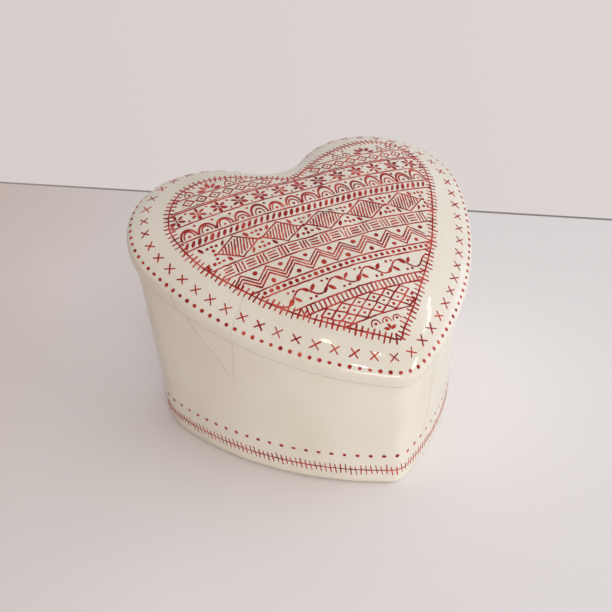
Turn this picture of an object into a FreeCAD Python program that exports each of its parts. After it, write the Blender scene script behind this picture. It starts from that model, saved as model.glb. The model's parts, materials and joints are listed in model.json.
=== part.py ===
"""Heart-shaped ceramic wind-up music box with a sloping lift-off lid and an eighteen-note movement.

+Z is up, +X to the right, and the heart's tip points along -Y. The origin is on the table plane
under the middle of the box. Every size comes from the Sizes sheet.
"""
import FreeCAD, Part
import math
import os
import re

import Sketcher
from FreeCAD import Placement, Rotation, Vector

doc = FreeCAD.newDocument("MusicBox")
sizes = doc.addObject("Spreadsheet::Sheet", "Sizes")

# Driving dimensions: millimetres, degrees and whole counts.
DIMENSIONS = {
    # ceramic heart: the six tangent arcs of the lid's lower edge, in the sloping rim plane
    "lobe_x": 29.8,
    "lobe_y": 23.62,
    "lobe_radius": 29.9,
    "tip_drop": 64.5,
    "tip_radius": 10.8,
    "side_radius": 108.5,
    "cleft_radius": 14.8,
    "lid_slope": 17.8,
    "rim_height": 59.3,
    # ceramic base
    "rim_step": 1.8,
    "wall": 4.5,
    "draft": 3.2,
    "foot_round": 3.5,
    "foot_width": 5.5,
    "recess_depth": 14.0,
    "floor_top": 18.5,
    "rim_round": 0.8,
    "lid_lip_round": 0.6,
    # ceramic lid
    "lid_bulge": 0.3,
    "lid_side": 4.4,
    "dome_rise": 10.0,
    "dome_y": 5.52,
    "cleft_softening": 90.0,
    "flange_gap": 1.7,
    "flange_wall": 2.4,
    "flange_depth": 3.5,
    # felt lining
    "felt": 1.5,
    "felt_gap": 0.5,
    # movement: bedplate and axes
    "bed_length": 50.0,
    "bed_depth": 43.0,
    "bed_y": 7.4,
    "bed_thickness": 2.5,
    "bed_corner": 2.5,
    "axis_lift": 8.0,
    "cylinder_y": 9.0,
    "barrel_x": -14.5,
    "running_gap": 0.05,
    "seat_gap": 0.03,
    # winding arbor, key and clutch
    "arbor_bottom": 8.0,
    "arbor_radius": 1.9,
    "arbor_hole_radius": 5.0,
    "arbor_end": 1.2,
    "key_span": 24.0,
    "key_height": 8.6,
    "key_thickness": 1.8,
    "key_bottom": 1.6,
    "key_corner": 3.6,
    "key_hub_lift": 1.0,
    "key_hub_radius": 3.2,
    "key_hub_height": 10.4,
    "key_eye_x": 7.2,
    "key_eye_radius": 2.1,
    "clutch_wire": 0.5,
    "clutch_turns": 3.0,
    # crown wheel on the arbor and its pinion on the cylinder
    "tooth_share": 0.36,
    "crown_teeth": 36,
    "crown_radius": 9.5,
    "crown_face": 1.4,
    "crown_disc": 1.2,
    "crown_hub_radius": 3.3,
    "crown_hub_height": 3.7,
    "pinion_teeth": 12,
    # spring housing and mainspring
    "housing_radius": 8.2,
    "housing_sheet": 0.6,
    "housing_bottom": 2.6,
    "housing_top": 13.0,
    "housing_leg_radius": 11.4,
    "housing_leg_width": 5.0,
    "housing_leg_sheet": 0.8,
    "housing_foot": 4.0,
    "housing_screw_reach": 2.9,
    "spring_strip": 0.35,
    "spring_step": 0.48,
    "spring_bottom": 4.6,
    "spring_height": 7.2,
    # pinned cylinder and comb
    "notes": 18,
    "note_pitch": 1.0,
    "cylinder_radius": 6.5,
    "cylinder_start": -2.2,
    "pin_radius": 7.2,
    "pin_width": 0.35,
    "pin_root": 0.2,
    "shaft_radius": 0.9,
    "shaft_start": -6.0,
    "shaft_end": 19.9,
    "bearing_half": 2.5,
    "lug_gap": 0.7,
    "lug_thickness": 1.0,
    "bracket_x": 18.4,
    "bracket_sheet": 1.0,
    "bracket_foot": 6.0,
    "bracket_screw_reach": 3.7,
    "comb_width": 24.0,
    "comb_thickness": 1.8,
    "comb_base_depth": 6.8,
    "tooth_thickness": 0.8,
    "tooth_slot": 0.25,
    "tip_gap": 0.15,
    "bass_tooth": 9.0,
    "treble_tooth": 6.0,
    "weight_width": 0.6,
    "weight_length": 2.2,
    "weight_setback": 0.7,
    "weight_depth": 1.8,
    "weight_step": 0.2,
    # cylinder wheel, governor pinion and worm wheel
    "wheel_teeth": 36,
    "wheel_radius": 6.75,
    "wheel_face": 1.2,
    "wheel_x": 17.0,
    "governor_teeth": 12,
    "worm_teeth": 20,
    "worm_wheel_radius": 4.0,
    "worm_wheel_x": 19.5,
    "worm_wheel_face": 1.4,
    "worm_radius": 1.5,
    "pivot_radius": 0.5,
    # air brake
    "fly_radius": 4.8,
    "fly_height": 4.8,
    "fly_sheet": 0.4,
    "fly_bottom": 12.6,
    "fly_collar": 1.0,
    "fly_hub_radius": 1.2,
    "governor_top": 19.5,
    "governor_foot_left": 11.0,
    "governor_foot_right": 22.5,
    "governor_foot_front": 3.0,
    "governor_foot_back": 4.5,
    "governor_foot_sheet": 1.0,
    "governor_screw_x": 15.6,
    "governor_screw_reach": 2.5,
    "cheek_left": 14.9,
    "cheek_right": 20.8,
    "cheek_sheet": 0.8,
    "cheek_height": 10.0,
    "cheek_front": 1.3,
    "cheek_back": 3.5,
    "post_x": 11.2,
    "post_thickness": 2.0,
    "post_half": 2.5,
    "arm_end": 21.5,
    "arm_half": 1.6,
    "arm_sheet": 1.2,
    "endstone_radius": 1.5,
    "endstone_height": 0.5,
    # stop lever
    "lever_x": 22.8,
    "lever_y": 14.5,
    "lever_lift": 11.7,
    "lever_sheet": 0.6,
    "lever_width": 1.8,
    "lever_pin_radius": 0.8,
    "lever_reach": 32.0,
    "lever_tab_y": -4.0,
    "lever_tab_start": 19.8,
    "lever_back_arm": 10.2,
    "lever_front_arm": 19.4,
    "lever_slot_length": 4.4,
    "lever_slot_height": 1.8,
    "lever_post_radius": 1.6,
    "lever_tap": 4.0,
    # screws and cover
    "screw_shank": 1.0,
    "screw_head": 1.9,
    "screw_head_height": 1.2,
    "screw_length": 3.0,
    "slot_width": 0.5,
    "mount_shank": 1.5,
    "mount_head": 2.8,
    "mount_head_height": 2.0,
    "mount_length": 7.5,
    "mount_hole_radius": 2.0,
    "washer_radius": 4.0,
    "washer_thickness": 0.8,
    "cover_gap": 0.5,
    "cover_wall": 1.6,
    "cover_height": 25.0,
    "cover_corner": 3.0,
}

# levels and distances worked out from the dimensions
BED_TOP = "(floor_top + bed_thickness)"
AXIS_Z = f"({BED_TOP} + axis_lift)"
FLOOR_INSET = "(rim_step + wall + draft * (1 - floor_top / rim_height))"
FLANGE_INSET = "(rim_step + wall + flange_gap)"
PINION_RADIUS = "(crown_radius * pinion_teeth / crown_teeth)"
GOVERNOR_RADIUS = "(wheel_radius * governor_teeth / wheel_teeth)"
GOVERNOR_Y = f"(cylinder_y + wheel_radius + {GOVERNOR_RADIUS})"
WORM_Y = f"({GOVERNOR_Y} + worm_wheel_radius + worm_radius)"
COMB_X = "(cylinder_start + (notes * note_pitch - comb_width) / 2)"
COMB_TIP = "(cylinder_y - pin_radius - tip_gap)"
COMB_BACK = f"({COMB_TIP} - bass_tooth - comb_base_depth)"
COMB_UNDERSIDE = f"({AXIS_Z} - comb_thickness)"

# tooth proportions: heights in modules, flank as sideways run per unit of height
ADDENDUM = 0.8
DEDENDUM = 1.05
FLANK = 0.37
CROWN_MODULE = "(2 * crown_radius / crown_teeth)"
CROWN_ADDENDUM = f"({CROWN_MODULE} * {ADDENDUM})"
CROWN_BOTTOM = 0.6
WORM_TURNS = 4.5
WORM_DEPTH = 0.45
WORM_HEIGHT = 0.35
WORM_SHARE = 0.3

# rounding of the foot and of the lid's lip, in degrees from below up to the wall
FOOT_ANGLES = (0, 22, 45, 68, 90)
LIP_ANGLES = (0, 45, 90)

# the dome's sections, in degrees from the lid's side to its top, and how it narrows and rises
DOME_ANGLES = (0, 12, 25, 40, 54, 66, 76, 84)
DOME_NARROWING = 0.95
DOME_SWELL = 1.4

# the tune: pins for each note, and how they step round the cylinder in degrees
PINS_PER_NOTE = 4
TUNE_STEP = 47.0
TUNE_SWING = 11.0

BASS_NOTES = 6
SPRING_HALF_TURNS = 10
LEVER_REST = 82.5
LEVER_FRONT = 262.9

# screw places as x and y
MOUNT_SCREWS = [("-21", "-10.5"), ("21", "-10.5"), ("2", "25.5")]
COMB_SCREWS = [(f"{COMB_X} + comb_width / 2 {side} 8", f"{COMB_BACK} + comb_base_depth / 2")
               for side in ("-", "+")]
HOUSING_SCREWS = [("barrel_x", f"cylinder_y {side} (housing_leg_radius + housing_screw_reach)")
                  for side in ("-", "+")]
BRACKET_SCREW = ("bracket_x + bracket_screw_reach", "cylinder_y")
GOVERNOR_SCREW = ("governor_screw_x", f"{WORM_Y} + governor_screw_reach")
PLATE_SCREWS = HOUSING_SCREWS + [BRACKET_SCREW, GOVERNOR_SCREW]


def write_sheet():
    """Each dimension gets a row: its name beside the aliased cell with its number."""
    for row, (alias, number) in enumerate(DIMENSIONS.items(), start=1):
        sizes.set(f"A{row}", alias)
        sizes.set(f"B{row}", str(number))
        sizes.setAlias(f"B{row}", alias)
    doc.recompute()


def sheet(expression):
    """An expression with each dimension's name turned into its cell in the Sizes sheet."""
    return re.sub(r"[a-z]\w*", lambda word: cell(word.group()), str(expression))


def cell(word):
    return f"Sizes.{word}" if word in DIMENSIONS else word


def bind(item, **settings):
    """Properties follow the sheet; a double underscore stands for the dot in a property's path."""
    for path, expression in settings.items():
        item.setExpression(path.replace("__", "."), sheet(expression))


def place(item, x="0", y="0", z="0", axis=None, turn="0"):
    """The item's Placement follows the sheet: a turn about an axis, then a move."""
    if axis is not None:
        item.Placement = Placement(Vector(0, 0, 0), Rotation(axis, 1))
        bind(item, Placement__Rotation__Angle=turn)
    bind(item, Placement__Base__x=x, Placement__Base__y=y, Placement__Base__z=z)


# ---------------------------------------------------------------- sketches and features


def new_body(label):
    body = doc.addObject("PartDesign::Body", label)
    body.Label = label
    return body


def origin_item(body, role):
    return next(item for item in body.Origin.OriginFeatures if item.Role == role)


def new_sketch(body, name, height="0", plane="XY_Plane"):
    """A sketch on an origin plane of its body, lifted along the plane's normal."""
    sketch = body.newObject("Sketcher::SketchObject", name)
    sketch.AttachmentSupport = [(origin_item(body, plane), "")]
    sketch.MapMode = "FlatFace"
    bind(sketch, AttachmentOffset__Base__z=height)
    return sketch


def dimension(sketch, expression, *definition):
    """A driving constraint whose value follows the sheet."""
    index = sketch.addConstraint(Sketcher.Constraint(*definition))
    sketch.setExpression(f"Constraints[{index}]", sheet(expression))


def add_circle(sketch, radius, x="0", y="0"):
    """A circle held by its radius and by its centre's distances from the sketch's origin."""
    circle = sketch.addGeometry(Part.Circle(Vector(1, 1, 0), Vector(0, 0, 1), 1), False)
    dimension(sketch, radius, "Radius", circle, 1)
    for kind, place_on_axis in (("DistanceX", x), ("DistanceY", y)):
        dimension(sketch, place_on_axis, kind, -1, 1, circle, 3, 1)
    return circle


def add_polygon(sketch, corners):
    """A closed line through corners, each an (x, y) pair of expressions."""
    count = len(corners)
    turns = [2 * math.pi * number / count for number in range(count)]
    start = [Vector(math.cos(turn), math.sin(turn), 0) for turn in turns]
    edges = [Part.LineSegment(start[number], start[(number + 1) % count]) for number in range(count)]
    lines = sketch.addGeometry(edges, False)
    for number, line in enumerate(lines):
        following = lines[(number + 1) % count]
        sketch.addConstraint(Sketcher.Constraint("Coincident", line, 2, following, 1))
    for line, (x, y) in zip(lines, corners):
        dimension(sketch, x, "DistanceX", -1, 1, line, 1, 1)
        dimension(sketch, y, "DistanceY", -1, 1, line, 1, 1)


def add_rectangle(sketch, x_low, x_high, y_low, y_high):
    add_polygon(sketch, [(x_low, y_low), (x_high, y_low), (x_high, y_high), (x_low, y_high)])


def pad(body, sketch, length, both_ways=False):
    feature = body.newObject("PartDesign::Pad", f"{sketch.Name}_pad")
    feature.Profile = sketch
    feature.Midplane = both_ways
    bind(feature, Length=length)
    doc.recompute()
    return feature


def pocket(body, sketch, depth, upwards=False):
    """A cut from the sketch: downwards against its normal, or upwards along it."""
    before = body.Shape.Volume
    feature = body.newObject("PartDesign::Pocket", f"{sketch.Name}_cut")
    feature.Profile = sketch
    feature.Reversed = upwards
    bind(feature, Length=depth)
    doc.recompute()
    if feature.Shape.Volume >= before:
        raise RuntimeError(f"{feature.Name} cuts nothing")
    return feature


def ring_pattern(body, feature, occurrences):
    """Copies of a feature, evenly round the body's own Z axis."""
    pattern = body.newObject("PartDesign::PolarPattern", f"{feature.Name}_ring")
    pattern.Originals = [feature]
    pattern.Axis = (origin_item(body, "Z_Axis"), [""])
    pattern.Angle = 360
    bind(pattern, Occurrences=occurrences)
    body.Tip = pattern
    doc.recompute()
    return pattern


def loft(body, name, sections, cut=False, ruled=False):
    kind = "PartDesign::SubtractiveLoft" if cut else "PartDesign::AdditiveLoft"
    feature = body.newObject(kind, name)
    feature.Profile = sections[0]
    feature.Sections = sections[1:]
    feature.Ruled = ruled
    doc.recompute()
    return feature


def round_edges(body, name, base, edges, radius):
    feature = body.newObject("PartDesign::Fillet", name)
    feature.Base = (base, edges)
    bind(feature, Radius=radius)
    doc.recompute()
    return feature


def edges_where(shape, test):
    return [f"Edge{number}" for number, edge in enumerate(shape.Edges, start=1) if test(edge)]


# ---------------------------------------------------------------- primitives and booleans


def cylinder(name, radius, height, x="0", y="0", z="0", axis=None, turn="0"):
    item = doc.addObject("Part::Cylinder", name)
    bind(item, Radius=radius, Height=height)
    place(item, x, y, z, axis, turn)
    return item


def block(name, x_low, x_high, y_low, y_high, z_low, z_high):
    item = doc.addObject("Part::Box", name)
    bind(item, Length=f"({x_high}) - ({x_low})", Width=f"({y_high}) - ({y_low})",
         Height=f"({z_high}) - ({z_low})")
    place(item, x_low, y_low, z_low)
    return item


def fuse(label, items):
    item = doc.addObject("Part::MultiFuse", label)
    item.Label = label
    item.Shapes = items
    return item


def cut(label, base, tools):
    tool = tools[0] if len(tools) == 1 else fuse(f"{label}_tools", tools)
    item = doc.addObject("Part::Cut", label)
    item.Label = label
    item.Base = base
    item.Tool = tool
    return item


def group(label, items):
    """Identical pieces kept as one object of separate solids."""
    item = doc.addObject("Part::Compound", label)
    item.Label = label
    item.Links = items
    return item


# ---------------------------------------------------------------- the ceramic heart


def arc(centre, radius, start, end):
    """An anticlockwise arc from the direction of the point start to that of the point end."""
    first = math.atan2(start.y - centre.y, start.x - centre.x)
    last = math.atan2(end.y - centre.y, end.x - centre.x)
    circle = Part.Circle(centre, Vector(0, 0, 1), radius)
    return Part.ArcOfCircle(circle, first, last)


def heart_arcs(scale):
    """The heart's arcs, tip first and then anticlockwise, at a scale about the dome's centre.

    The smaller the heart, the shallower its cleft, so that the dome's valley fades out.
    """
    size = DIMENSIONS
    lobe_y = size["dome_y"] + (size["lobe_y"] - size["dome_y"]) * scale
    lobe = Vector(size["lobe_x"] * scale, lobe_y, 0)
    tip = Vector(0, lobe_y - size["tip_drop"] * scale, 0)
    lobe_radius = size["lobe_radius"] * scale
    tip_radius = size["tip_radius"] * scale
    side_radius = size["side_radius"] * scale
    cleft_radius = (size["cleft_radius"] + size["cleft_softening"] * (1 - scale)) * scale

    # the side arc holds both end circles, so its centre lies at the differences of the radii
    along = (lobe - tip).normalize()
    span = (lobe - tip).Length
    from_tip = side_radius - tip_radius
    from_lobe = side_radius - lobe_radius
    foot = (from_tip**2 - from_lobe**2 + span**2) / (2 * span)
    side = tip + along * foot + Vector(-along.y, along.x, 0) * math.sqrt(from_tip**2 - foot**2)
    lobe_end = side + (lobe - side).normalize() * side_radius
    tip_end = side + (tip - side).normalize() * side_radius

    # the cleft's arc curves the other way and touches both lobes
    cleft = Vector(0, lobe_y + math.sqrt((lobe_radius + cleft_radius) ** 2 - lobe.x**2), 0)
    cleft_end = lobe + (cleft - lobe).normalize() * lobe_radius

    def mirrored(point):
        return Vector(-point.x, point.y, 0)

    return [
        arc(tip, tip_radius, mirrored(tip_end), tip_end),
        arc(side, side_radius, tip_end, lobe_end),
        arc(lobe, lobe_radius, lobe_end, cleft_end),
        arc(cleft, cleft_radius, mirrored(cleft_end), cleft_end),
        arc(mirrored(lobe), lobe_radius, mirrored(cleft_end), mirrored(lobe_end)),
        arc(mirrored(side), side_radius, mirrored(lobe_end), mirrored(tip_end)),
    ]


def heart_sketch(body, name, height="0", inset="0", scale=1.0, flat=False):
    """A heart offset inwards by inset and scaled about the dome's centre.

    A flat heart lies level under the sloping rim, so its length is shortened by the slope.
    """
    sketch = new_sketch(body, name, height)
    tip, side, lobe, cleft, left_lobe, left_side = sketch.addGeometry(heart_arcs(scale), False)
    start, end, centre = 1, 2, 3
    joints = [
        (tip, end, side, start),
        (side, end, lobe, start),
        (lobe, end, cleft, end),
        (cleft, start, left_lobe, start),
        (left_lobe, end, left_side, start),
        (left_side, end, tip, start),
    ]
    for joint in joints:
        sketch.addConstraint(Sketcher.Constraint("Tangent", *joint))
    sketch.addConstraint(Sketcher.Constraint("Symmetric", lobe, centre, left_lobe, centre, -2))
    sketch.addConstraint(Sketcher.Constraint("PointOnObject", tip, centre, -2))
    sketch.addConstraint(Sketcher.Constraint("Equal", side, left_side))
    sketch.addConstraint(Sketcher.Constraint("Equal", lobe, left_lobe))

    shorten = "cos(lid_slope)" if flat else "1"
    arcs = heart_arcs(scale)
    lobe_centre = arcs[2].Center
    drop = lobe_centre.y - arcs[0].Center.y
    dimension(sketch, f"lobe_x * {scale}", "DistanceX", -1, 1, lobe, centre, lobe_centre.x)
    dimension(sketch, f"(dome_y + (lobe_y - dome_y) * {scale}) * {shorten}",
              "DistanceY", -1, 1, lobe, centre, lobe_centre.y)
    dimension(sketch, f"tip_drop * {scale} * {shorten}", "DistanceY", tip, centre, lobe, centre, drop)
    for curve, radius in ((tip, "tip_radius"), (side, "side_radius"), (lobe, "lobe_radius")):
        start_radius = DIMENSIONS[radius] * scale
        dimension(sketch, f"({radius} - ({inset})) * {scale}", "Radius", curve, start_radius)
    softening = f"cleft_softening * {1 - scale}"
    dimension(sketch, f"(cleft_radius + {softening} + {inset}) * {scale}", "Radius", cleft,
              arcs[3].Radius)
    doc.recompute()
    return sketch


def slope_to_rim(sketch, below="0"):
    """The sketch is turned about X into the rim plane, or a plane at a distance below it."""
    sketch.AttachmentOffset = Placement(Vector(0, 0, 0), Rotation(Vector(1, 0, 0), 1))
    bind(sketch, AttachmentOffset__Rotation__Angle="lid_slope",
         AttachmentOffset__Base__y=f"sin(lid_slope) * ({below})",
         AttachmentOffset__Base__z=f"rim_height - cos(lid_slope) * ({below})")
    doc.recompute()
    return sketch


def rim_sections(body, name, inset, side):
    """Hearts that round the rim's edge; side is + for the outer edge and - for the inner one."""
    sections = []
    for angle in LIP_ANGLES:
        rounded = f"{inset} {side} rim_round * (1 - cos({angle}))"
        outline = heart_sketch(body, f"{name}_{angle}", "0", rounded)
        sections.append(slope_to_rim(outline, f"rim_round * (1 - sin({angle}))"))
    return sections


def build_base_shell():
    """Slip-cast base: drafted wall, raised floor over the key's recess, holes for the movement."""
    body = new_body("base_shell")
    outside = "rim_step + draft"
    sections = []
    for angle in FOOT_ANGLES:
        height = f"foot_round * (1 - cos({angle}))"
        inset = f"{outside} + foot_round * (1 - sin({angle}))"
        sections.append(heart_sketch(body, f"foot_{angle}", height, inset, flat=True))
    sections += rim_sections(body, "rim", "rim_step", "+")
    loft(body, "outer_wall", sections, ruled=True)

    floor = heart_sketch(body, "floor_outline", "floor_top", FLOOR_INSET, flat=True)
    mouth = rim_sections(body, "mouth", "rim_step + wall", "-")
    loft(body, "cavity", [floor] + mouth, cut=True, ruled=True)

    recess = heart_sketch(body, "recess_outline", "0", f"{outside} + foot_width", flat=True)
    pocket(body, recess, "recess_depth", upwards=True)

    holes = new_sketch(body, "floor_holes")
    add_circle(holes, "arbor_hole_radius", "barrel_x", "cylinder_y")
    for x, y in MOUNT_SCREWS:
        add_circle(holes, "mount_hole_radius", x, y)
    pocket(body, holes, "floor_top + 1", upwards=True)
    return body


def dome_sections(body, name, rise, inset):
    """Hearts that shrink about the dome's centre as they rise."""
    sections = []
    for number, angle in enumerate(DOME_ANGLES):
        scale = math.cos(math.radians(angle)) ** DOME_NARROWING
        climb = math.sin(math.radians(angle)) ** DOME_SWELL
        height = f"lid_side + ({rise}) * {climb:.5f}"
        sections.append(heart_sketch(body, f"{name}_{number}", height, inset, scale))
    return sections


def build_lid_shell():
    """Slip-cast lid with a low dome, drawn level and then turned into the rim plane."""
    body = new_body("lid_shell")
    sides = []
    for angle in LIP_ANGLES:
        height = f"lid_lip_round * (1 - cos({angle}))"
        inset = f"lid_lip_round * (1 - sin({angle}))"
        sides.append(heart_sketch(body, f"lip_{angle}", height, inset))
    outer = dome_sections(body, "dome", "dome_rise", "-lid_bulge")
    loft(body, "lid_side_wall", sides + [outer[0]], ruled=True)
    loft(body, "lid_dome", outer)

    flange = heart_sketch(body, "flange_outline", "-flange_depth", FLANGE_INSET)
    pad(body, flange, "flange_depth + 0.5")
    opening = f"{FLANGE_INSET} + flange_wall"
    mouth = heart_sketch(body, "lid_mouth", "-flange_depth", opening)
    pocket(body, mouth, "flange_depth + lid_side", upwards=True)
    loft(body, "lid_hollow", dome_sections(body, "hollow", "dome_rise - wall", opening), cut=True)
    place(body, z="rim_height", axis=Vector(1, 0, 0), turn="lid_slope")
    return body


def build_felt_liner():
    """Felt on the base's floor, cut out round the dust cover."""
    body = new_body("felt_liner")
    outline = heart_sketch(body, "felt_outline", "floor_top", f"{FLOOR_INSET} + felt_gap", flat=True)
    pad(body, outline, "felt")
    window = new_sketch(body, "felt_window", "floor_top")
    cover_rectangle(window, "cover_gap + cover_wall + felt_gap")
    pocket(body, window, "felt + 1", upwards=True)
    return body


# ---------------------------------------------------------------- bedplate, comb and cover


def cover_rectangle(sketch, reach):
    """The bedplate's outline grown by reach on every side."""
    add_rectangle(sketch, f"-bed_length / 2 - ({reach})", f"bed_length / 2 + {reach}",
                  f"bed_y - bed_depth / 2 - ({reach})", f"bed_y + bed_depth / 2 + {reach}")


def build_bedplate():
    """Zinc bedplate with the comb's raised seat and the cylinder's left bearing cast on."""
    body = new_body("bedplate")
    plate = new_sketch(body, "plate_outline", "floor_top")
    cover_rectangle(plate, "0")
    slab = pad(body, plate, "bed_thickness")
    round_edges(body, "plate_corners", slab, edges_where(slab.Shape, upright), "bed_corner")

    seat = new_sketch(body, "comb_seat", "floor_top")
    add_rectangle(seat, COMB_X, f"{COMB_X} + comb_width", COMB_BACK, f"{COMB_BACK} + comb_base_depth")
    pad(body, seat, "bed_thickness + axis_lift - comb_thickness")
    lug = new_sketch(body, "left_bearing", "floor_top")
    lug_right = "cylinder_start - lug_gap"
    add_rectangle(lug, f"{lug_right} - lug_thickness", lug_right,
                  "cylinder_y - bearing_half", "cylinder_y + bearing_half")
    pad(body, lug, "bed_thickness + axis_lift + bearing_half")

    bearing = new_sketch(body, "left_bearing_hole", f"{lug_right} - lug_thickness * 2", "YZ_Plane")
    add_circle(bearing, "shaft_radius + running_gap", "cylinder_y", AXIS_Z)
    pocket(body, bearing, "lug_thickness * 3", upwards=True)
    holes = new_sketch(body, "plate_holes", "floor_top")
    add_circle(holes, "arbor_radius + running_gap", "barrel_x", "cylinder_y")
    for x, y in MOUNT_SCREWS:
        add_circle(holes, "mount_shank + seat_gap", x, y)
    for x, y in PLATE_SCREWS:
        add_circle(holes, "screw_shank + seat_gap", x, y)
    pocket(body, holes, "bed_thickness", upwards=True)
    taps = new_sketch(body, "comb_taps", COMB_UNDERSIDE)
    for x, y in COMB_SCREWS:
        add_circle(taps, "screw_shank + seat_gap", x, y)
    pocket(body, taps, "screw_length")
    return body


def upright(edge):
    return edge.BoundBox.ZLength > 0.5 and edge.BoundBox.XLength + edge.BoundBox.YLength < 0.01


def comb_tooth_x(note):
    return f"(cylinder_start + {note + 0.5} * note_pitch)"


def build_comb():
    """Steel comb: the slots deepen towards the long bass teeth at the left."""
    count = DIMENSIONS["notes"]
    back = block("comb_back", COMB_X, f"{COMB_X} + comb_width", COMB_BACK,
                 f"{COMB_BACK} + comb_base_depth", COMB_UNDERSIDE, AXIS_Z)
    teeth = block("comb_teeth", f"{comb_tooth_x(0)} - (note_pitch - tooth_slot) / 2",
                  f"{comb_tooth_x(count - 1)} + (note_pitch - tooth_slot) / 2",
                  f"{COMB_BACK} + comb_base_depth - 0.5", COMB_TIP, f"{AXIS_Z} - tooth_thickness", AXIS_Z)
    tools = []
    for slot in range(count - 1):
        middle = f"{comb_tooth_x(slot)} + note_pitch / 2"
        length = f"bass_tooth + (treble_tooth - bass_tooth) * {slot} / (notes - 2)"
        tools.append(block(f"comb_slot_{slot}", f"{middle} - tooth_slot / 2", f"{middle} + tooth_slot / 2",
                           f"{COMB_TIP} - ({length})", f"{COMB_TIP} + 1",
                           f"{COMB_UNDERSIDE} - 1", f"{AXIS_Z} + 1"))
    for number, (x, y) in enumerate(COMB_SCREWS):
        tools.append(cylinder(f"comb_hole_{number}", "screw_shank + 0.1", "comb_thickness + 2",
                              x, y, f"{COMB_UNDERSIDE} - 1"))
    return cut("comb", fuse("comb_blank", [back, teeth]), tools)


def build_bass_weights():
    """Lead weights soldered under the longest teeth, the deepest at the left."""
    weights = []
    top = f"{AXIS_Z} - tooth_thickness"
    for note in range(BASS_NOTES):
        middle = comb_tooth_x(note)
        front = f"{COMB_TIP} - weight_setback - weight_length"
        weights.append(block(f"bass_weight_{note}", f"{middle} - weight_width / 2",
                             f"{middle} + weight_width / 2", front, f"{COMB_TIP} - weight_setback",
                             f"{top} - (weight_depth - weight_step * {note})", top))
    return group("bass_weights", weights)


def build_dust_cover():
    """Clear moulded cover over the movement, with a slot for the stop lever."""
    body = new_body("dust_cover")
    outline = new_sketch(body, "cover_outline", "floor_top")
    cover_rectangle(outline, "cover_gap + cover_wall")
    shell = pad(body, outline, "cover_height")
    round_edges(body, "cover_corners", shell, edges_where(shell.Shape, upright), "cover_corner")
    inside = new_sketch(body, "cover_inside", "floor_top")
    cover_rectangle(inside, "cover_gap")
    pocket(body, inside, "cover_height - cover_wall", upwards=True)
    slot = new_sketch(body, "lever_slot", "bed_length / 2", "YZ_Plane")
    middle = f"{BED_TOP} + lever_lift + lever_sheet / 2"
    add_rectangle(slot, "lever_tab_y - lever_slot_length / 2", "lever_tab_y + lever_slot_length / 2",
                  f"{middle} - lever_slot_height / 2", f"{middle} + lever_slot_height / 2")
    pocket(body, slot, "cover_gap + cover_wall + 1", upwards=True)
    return body


# ---------------------------------------------------------------- spring motor


def build_great_wheel():
    """Crown wheel: teeth stand up from the rim; the hub takes the clutch spring."""
    body = new_body("great_wheel")
    rim = "crown_radius + crown_face / 2"
    disc = new_sketch(body, "crown_disc_outline", CROWN_BOTTOM)
    add_circle(disc, rim)
    add_circle(disc, "arbor_radius + running_gap")
    pad(body, disc, "crown_disc")
    wall = new_sketch(body, "crown_wall", CROWN_BOTTOM)
    add_circle(wall, rim)
    add_circle(wall, "crown_radius - crown_face / 2")
    pad(body, wall, f"axis_lift - {PINION_RADIUS} + {CROWN_ADDENDUM} - {CROWN_BOTTOM}")
    hub = new_sketch(body, "crown_hub", CROWN_BOTTOM)
    add_circle(hub, "crown_hub_radius")
    add_circle(hub, "arbor_radius + running_gap")
    pad(body, hub, "crown_hub_height")

    # one gap between teeth, widest at the top, repeated round the rim
    pitch_line = f"(axis_lift - {PINION_RADIUS})"
    half_gap = f"({CROWN_MODULE} * pi * (1 - tooth_share) / 2)"
    deep = f"({CROWN_MODULE} * {DEDENDUM})"
    top = f"({CROWN_ADDENDUM} + 0.2)"
    gap = new_sketch(body, "crown_gap", "crown_radius - crown_face", "YZ_Plane")
    add_polygon(gap, [
        (f"-({half_gap} + {top} * {FLANK})", f"{pitch_line} + {top}"),
        (f"-({half_gap} - {deep} * {FLANK})", f"{pitch_line} - {deep}"),
        (f"{half_gap} - {deep} * {FLANK}", f"{pitch_line} - {deep}"),
        (f"{half_gap} + {top} * {FLANK}", f"{pitch_line} + {top}"),
    ])
    first = pocket(body, gap, "crown_face * 2", upwards=True)
    ring_pattern(body, first, "crown_teeth")
    place(body, "barrel_x", "cylinder_y", BED_TOP)
    return body


def toothed_wheel(label, teeth, pitch_radius, face, bore, phase="0"):
    """A spur wheel standing on its own XY plane: root disc, straight-flanked teeth and bore."""
    body = new_body(label)
    module = f"(2 * {pitch_radius} / {teeth})"
    half = f"({module} * pi * tooth_share / 2)"
    deep = f"({module} * {DEDENDUM})"
    high = f"({module} * {ADDENDUM})"
    disc = new_sketch(body, f"{label}_disc")
    add_circle(disc, f"{pitch_radius} - {deep}")
    add_circle(disc, bore)
    pad(body, disc, face)
    tooth = new_sketch(body, f"{label}_tooth")
    tooth.AttachmentOffset = Placement(Vector(0, 0, 0), Rotation(Vector(0, 0, 1), 1))
    bind(tooth, AttachmentOffset__Rotation__Angle=phase)
    root = f"({pitch_radius} - {deep} - 0.1 * {module})"
    tip = f"({pitch_radius} + {high})"
    add_polygon(tooth, [
        (root, f"-({half} + {deep} * {FLANK})"),
        (tip, f"-({half} - {high} * {FLANK})"),
        (tip, f"{half} - {high} * {FLANK}"),
        (root, f"{half} + {deep} * {FLANK}"),
    ])
    first = pad(body, tooth, face)
    ring_pattern(body, first, teeth)
    return body


def lay_along_x(item, x, y):
    """A part drawn round its own Z axis is laid on the X direction at the train's height."""
    place(item, x, y, AXIS_Z, Vector(0, 1, 0), "90")
    return item


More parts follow.
